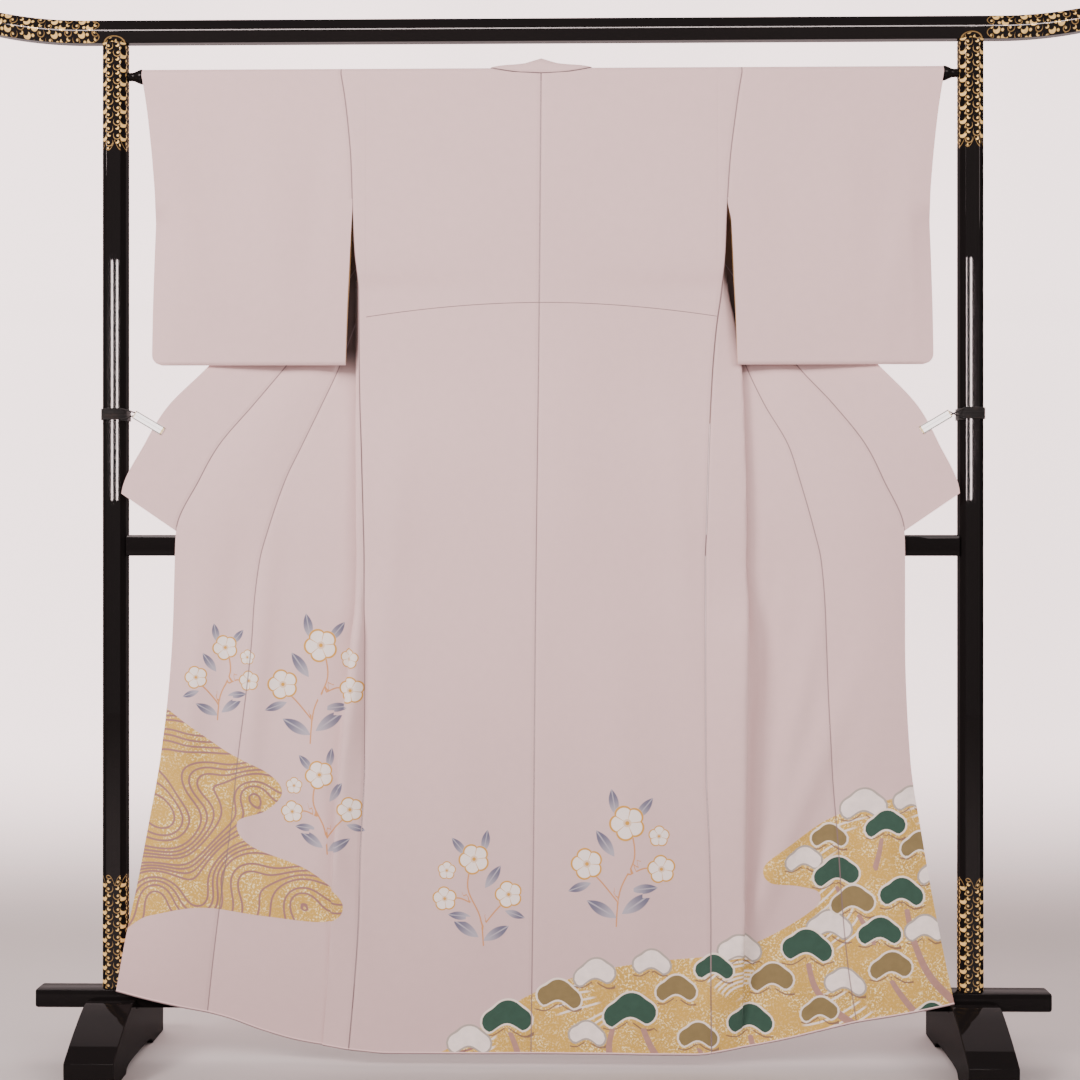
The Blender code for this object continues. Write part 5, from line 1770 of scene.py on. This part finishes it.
# %% [markdown]
# The rod lies in a trumpet-shaped cup on each post. A cup is a thin cylinder whose end face is
# extruded and widened a few times, then inset and pushed back in to make the socket.

# %% Rod and cups
CUP_STEPS = [(0.6840, 0.0070), (0.6815, 0.0075), (0.6790, 0.0085), (0.6760, 0.0098), (0.6730, 0.0112),
             (0.6700, 0.0122), (CUP_MOUTH, CUP_RADIUS)]


def add_cup(side):
    sign = SIDES[side]
    face_x = POST_X - POST_HALF - SEAM
    place, radius = CUP_STEPS[0]
    piece = add_bar("rod_cup_lacquered_" + side, 40, radius, (sign * place, sign * face_x), ROD_HEIGHT)
    for x, wider in CUP_STEPS[1:]:
        pick_faces(piece, lambda centre, normal: -normal.x * sign > 0.9
                   and abs(abs(centre.x) - place) < 0.0002)
        extrude(sign * (x - place), 0.0, 0.0)
        scale = wider / radius
        bpy.ops.transform.resize(value=(1.0, scale, scale), center_override=(0.0, 0.0, ROD_HEIGHT))
        place, radius = x, wider
    socket = ROD_RADIUS + SEAM
    bpy.ops.mesh.inset(thickness=radius - socket, depth=0.0)
    extrude(sign * (ROD_HALF + SEAM - place), 0.0, 0.0)
    finish_piece(piece, lacquer_plain, rounding=0.0004, smooth_below=50.0)
    return hang(piece, "rod_cup_" + side, slot="lacquer")


def add_rod():
    piece = add_bar("rod_lacquered", 48, ROD_RADIUS, (-ROD_HALF, ROD_HALF), ROD_HEIGHT)
    pick_faces(piece, lambda centre, normal: abs(normal.x) > 0.9)
    bpy.ops.mesh.inset(thickness=0.002, use_individual=True)
    finish_piece(piece, lacquer_plain, rounding=0.0008, smooth_below=50.0)
    return hang(piece, "rod", slot="lacquer")


for side in SIDES:
    add_cup(side)
add_rod()

# %% [markdown]
# Along the hem the lining comes out past the silk as a slim padded roll, which keeps the edge from
# wearing. It is made as a tube about the sheet's lowest row of points. Its underside lies in shade,
# and that shade is painted: the tube's `seam` number falls to nought there, so the crepe draws the
# same dark line below the roll as beside a seam.

# %% Hem rolls
ROLL_RADIUS = 0.0021
ROLL_DROP = 0.0011
ROLL_SIDES = 10
# How far round from its top, in radians, the painted shade on the tube's underside begins
SHADED_UNDERSIDE = 1.85


def add_roll(name, edge):
    """A closed tube along the points of a hem's edge."""
    edge = np.array(edge, dtype=float) - (0.0, 0.0, ROLL_DROP)
    ahead = np.gradient(edge, axis=0)
    ahead /= np.linalg.norm(ahead, axis=1, keepdims=True)
    side = np.cross(ahead, (0.0, 0.0, 1.0))
    side /= np.linalg.norm(side, axis=1, keepdims=True)
    rise = np.cross(side, ahead)
    points, seam, weave = [], [], []
    run = run_along(edge)
    for k in range(ROLL_SIDES):
        turn = 2 * math.pi * k / ROLL_SIDES
        points.append(edge + ROLL_RADIUS * (math.cos(turn) * rise + math.sin(turn) * side))
        # Painted shade on the underside: the seam number falls to nought there
        above = SHADED_UNDERSIDE - min(turn, 2 * math.pi - turn)
        seam.append(np.full(len(edge), ROLL_RADIUS * max(above, 0.0)))
        weave.append(np.column_stack([run, np.full(len(edge), ROLL_RADIUS * turn)]))
    points, seam, weave = np.array(points), np.array(seam), np.array(weave)
    count = len(edge)
    faces = []
    for k in range(ROLL_SIDES):
        low, high = k * count, (k + 1) % ROLL_SIDES * count
        faces += [(low + i, low + i + 1, high + i + 1, high + i) for i in range(count - 1)]
    faces.append(tuple(k * count for k in range(ROLL_SIDES)))
    faces.append(tuple(k * count + count - 1 for k in range(ROLL_SIDES))[::-1])
    piece = build_piece(name, points.reshape(-1, 3), faces, (silk,),
                        {"weave": weave, "design": points[:, :, [0, 2]]}, seam, 60)
    turn_outward(piece)
    return piece


def turn_outward(piece):
    """Turns a closed piece's faces outward."""
    built = bmesh.new()
    built.from_mesh(piece.data)
    bmesh.ops.recalc_face_normals(built, faces=built.faces)
    built.to_mesh(piece.data)
    built.free()


# %% Making the garment
sheets = {}
rolls = {}


def hang_sheet(part, made, thickness, finishes, flip=False, ring=False, slot="silk"):
    """Makes one sheet of cloth and hangs it in place of its solid."""
    sheets[part] = add_sheet("silk_" + part, *made, thickness, finishes, flip, ring)
    hang(sheets[part], part, slot=slot)


for side in SIDES:
    flip = side == "left"
    body, okumi = "body_" + side, "okumi_" + side
    made = body_grid(side)
    hang_sheet(body, made, CLOTH, (silk_body, lining), flip)
    rolls[body] = [add_roll("hem_roll_back_" + side, made[0][0]),
                   add_roll("hem_roll_front_" + side, made[0][-1])]
    made = okumi_grid(side)
    hang_sheet(okumi, made, CLOTH, (silk_body, lining), not flip)
    rolls[okumi] = [add_roll("hem_roll_okumi_" + side, made[0][0])]
    for roll in rolls[body] + rolls[okumi]:
        hang(roll)
    paint(sheets[body], painted_silk)
    paint(sheets[okumi], painted_silk)
    hang_sheet("sleeve_" + side, sleeve_grid(side), CLOTH, (silk, lining), not flip, ring=True)
hang_sheet("collar", collar_grid(), COLLAR_CLOTH, (silk, silk_body), slot="collar_silk")

# %% [markdown]
# A clip keeps each front spread. It is a slim bar of white plastic: two long jaws, one before and one
# behind the collar's edge, on a narrower block that holds them apart. The jaws' tips are lined with
# tan rubber so that they don't mark the silk, and their long rims are drawn darker. A faint dark line
# along the groove down the middle is painted shade. The plastic glows a little: painted light, standing
# in for the wall's light through the milky plastic. One clip is modelled lying along X. Each
# side gets a copy, turned into its place on the edge, with the place applied to its mesh.

# %% Clip plastic
CLIP_TIP, CLIP_END = -0.017, 0.038
CLIP_WIDTH = 0.014
CLIP_HALF = 0.0042
JAW_INSIDE = 0.0020
JAW_TAPER = 0.0010
JAW_BORDER, JAW_PANEL_DEPTH = 0.0018, 0.0004
BLOCK_INSET = 0.0012
CLIP_WHITE = from_srgb(244, 243, 241)
CLIP_TAN = from_srgb(186, 164, 118)
CLIP_DARK_LINE = from_srgb(74, 70, 66)


def make_clip_plastic():
    finish = Finish("clip_plastic")
    laid, across, along = finish.uv("laid")
    scuffs = finish.noise(laid, 420.0, detail=3.0)
    groove = 1 - abs(along).step(0.0003, 0.0008)
    rim = abs(along).step(CLIP_WIDTH / 2 - 0.0021, CLIP_WIDTH / 2 - 0.0015)
    rubber = across.below(CLIP_TIP + 0.0030).at_least(across.above(CLIP_END - 0.0014))
    colour = finish.mix(rubber, finish.scaled(CLIP_WHITE, 0.94 + scuffs * 0.08), CLIP_TAN)
    # Painted shade along the groove, and the long rims drawn darker
    colour = finish.mix((groove * 0.25).at_least(rim * 0.90), colour, CLIP_DARK_LINE)
    # Painted light: the plastic glows a little
    return finish.set(base_color=colour, roughness=0.30 + scuffs * 0.18 + rubber * 0.30,
                      emission_color=colour, emission_strength=1.3,
                      normal=finish.bump(scuffs * 0.00004 - groove * 0.00030))


clip_plastic = make_clip_plastic()


# %% The clip, modelled once
def add_jaw():
    piece = add_block("clip_part", (CLIP_TIP, -CLIP_HALF, -CLIP_WIDTH / 2),
                      (CLIP_END, -JAW_INSIDE, CLIP_WIDTH / 2))
    pick_edges(piece, lambda a, b: max(a.x, b.x) < CLIP_TIP + 0.001 and max(a.y, b.y) < -0.004)
    bpy.ops.transform.translate(value=(0.0, JAW_TAPER, 0.0))
    pick_faces(piece, lambda centre, normal: normal.y < -0.9)
    bpy.ops.mesh.inset(thickness=JAW_BORDER, depth=0.0)
    extrude(0.0, JAW_PANEL_DEPTH, 0.0)
    bpy.ops.object.mode_set(mode="OBJECT")
    return piece


def add_clip():
    front, back = add_jaw(), add_jaw()
    open_piece(back)
    bpy.ops.mesh.select_all(action="SELECT")
    bpy.ops.transform.resize(value=(1.0, -1.0, 1.0), center_override=(0.0, 0.0, 0.0))
    bpy.ops.object.mode_set(mode="OBJECT")
    block = add_block("clip_part", (0.0050, -JAW_INSIDE, -CLIP_WIDTH / 2 + BLOCK_INSET),
                      (CLIP_END - 0.0030, JAW_INSIDE, CLIP_WIDTH / 2 - BLOCK_INSET))
    bpy.ops.object.mode_set(mode="OBJECT")
    deselect_all()
    for part in (front, back, block):
        part.select_set(True)
    bpy.context.view_layer.objects.active = front
    bpy.ops.object.join()
    open_piece(front)
    return finish_piece(front, clip_plastic, rounding=0.0005, smooth_below=30.0)


# %% Where a clip takes the collar's edge
CLIP_PLACE = (0.644, 1.090)
CLIP_AIM = (0.862, 0.508)


def collar_frame(grid, side):
    """The clip's own axes at the collar's free edge: outward, through the cloth, and across."""
    goal = (SIDES[side] * CLIP_PLACE[0], CLIP_PLACE[1])
    edge, inside = grid[:, -1], grid[:, -4]
    nearest = int(np.argmin(np.hypot(edge[:, 0] - goal[0], edge[:, 2] - goal[1])))
    through = np.cross(inside[nearest] - edge[nearest], edge[nearest + 1] - edge[nearest])
    through *= np.sign(through[1]) / np.linalg.norm(through)
    outward = np.array([SIDES[side] * CLIP_AIM[0], 0.0, CLIP_AIM[1]])
    outward -= through * np.dot(outward, through)
    outward /= np.linalg.norm(outward)
    frame = np.column_stack([outward, through, np.cross(outward, through), edge[nearest]])
    return Matrix(np.vstack([frame, (0.0, 0.0, 0.0, 1.0)]).tolist())


def place_copy(model, name, frame):
    """A copy of a piece with its own mesh, put in its place there."""
    piece = model.copy()
    piece.data = model.data.copy()
    piece.name = name
    piece.data.transform(frame)
    bpy.context.scene.collection.objects.link(piece)
    return piece


collar_middle = collar_grid()[0]
clip_frames = {side: collar_frame(collar_middle, side) for side in SIDES}
clip_model = add_clip()
for side in SIDES:
    hang(place_copy(clip_model, "clip_jaws_" + side, clip_frames[side]), "clip_" + side,
         slot="clip_plastic")
bpy.data.objects.remove(clip_model, do_unlink=True)

# %% [markdown]
# A thin black cord ties each clip to its post. It leaves the clip, goes round the post eight times and
# comes back to the clip. It is drawn as one curve through the corners that it bends round, given its
# thickness, and made a mesh. The cord is twisted, so its finish has a fine uneven shade and relief.

# %% Ties
TIE_RADIUS = 0.0012
TIE_TOP = 1.1165
TIE_TURNS = 8
TIE_PITCH = 0.0024
TIE_CUT = 0.80
TIE_BLACK, TIE_WORN = (0.005, 0.005, 0.005), (0.060, 0.036, 0.026)
TIE_RELIEF = 0.00025


def make_tie_cord():
    finish = Finish("tie_cord")
    places = finish.places()
    strands = finish.noise(places, 900.0, detail=2.0, distortion=0.8)
    worn = finish.noise(places, 70.0, detail=2.0).step(0.50, 0.70)
    colour = finish.mix(worn * 0.20, TIE_BLACK, TIE_WORN)
    return finish.set(base_color=finish.scaled(colour, 0.6 + strands * 0.8),
                      roughness=0.62 + strands * 0.25, normal=finish.bump(strands * TIE_RELIEF))


def tie_route(side):
    """The corners of the tie's way, in metres."""
    sign = SIDES[side]
    reach = POST_HALF + SEAM + TIE_RADIUS
    near = reach - (reach - POST_HALF + POST_CHAMFER) * TIE_CUT
    corners = [(-near, -reach), (near, -reach), (reach, -near), (reach, near), (near, reach),
               (-near, reach), (-reach, near), (-reach, -near)]
    inside, outside = [[clip_frames[side] @ Vector((x, 0.0, z)) for z in (-0.0030, 0.0030)]
                       for x in (CLIP_END - 0.0030, CLIP_END + 0.0010)]
    route = [inside[0], outside[0]]
    for k in range(TIE_TURNS * len(corners) + 1):
        x, y = corners[k % len(corners)]
        z = TIE_TOP - TIE_PITCH * k / len(corners)
        route.append(Vector((sign * (POST_X + x), y, z)))
    return route + [outside[1], inside[1]]


def add_tie(side, finish):
    curve = bpy.data.curves.new("tie", "CURVE")
    curve.dimensions = "3D"
    curve.bevel_depth = TIE_RADIUS
    curve.bevel_resolution = 2
    curve.use_fill_caps = True
    route = tie_route(side)
    spline = curve.splines.new("POLY")
    spline.points.add(len(route) - 1)
    for point, place in zip(spline.points, route):
        point.co = (*place, 1.0)
    piece = bpy.data.objects.new("tie_cord_" + side, curve)
    bpy.context.scene.collection.objects.link(piece)
    pick_piece(piece)
    bpy.ops.object.convert(target="MESH")
    piece = bpy.context.object
    piece.data.shade_smooth()
    piece.data.materials.clear()
    piece.data.materials.append(finish)
    length = sum((b - a).length for a, b in zip(route, route[1:]))
    print("tie", side, "length", round(length, 3), "faces", len(piece.data.polygons))
    return hang(piece, "tie_" + side, slot="tie_cord")


tie_cord = make_tie_cord()
for side in SIDES:
    add_tie(side, tie_cord)
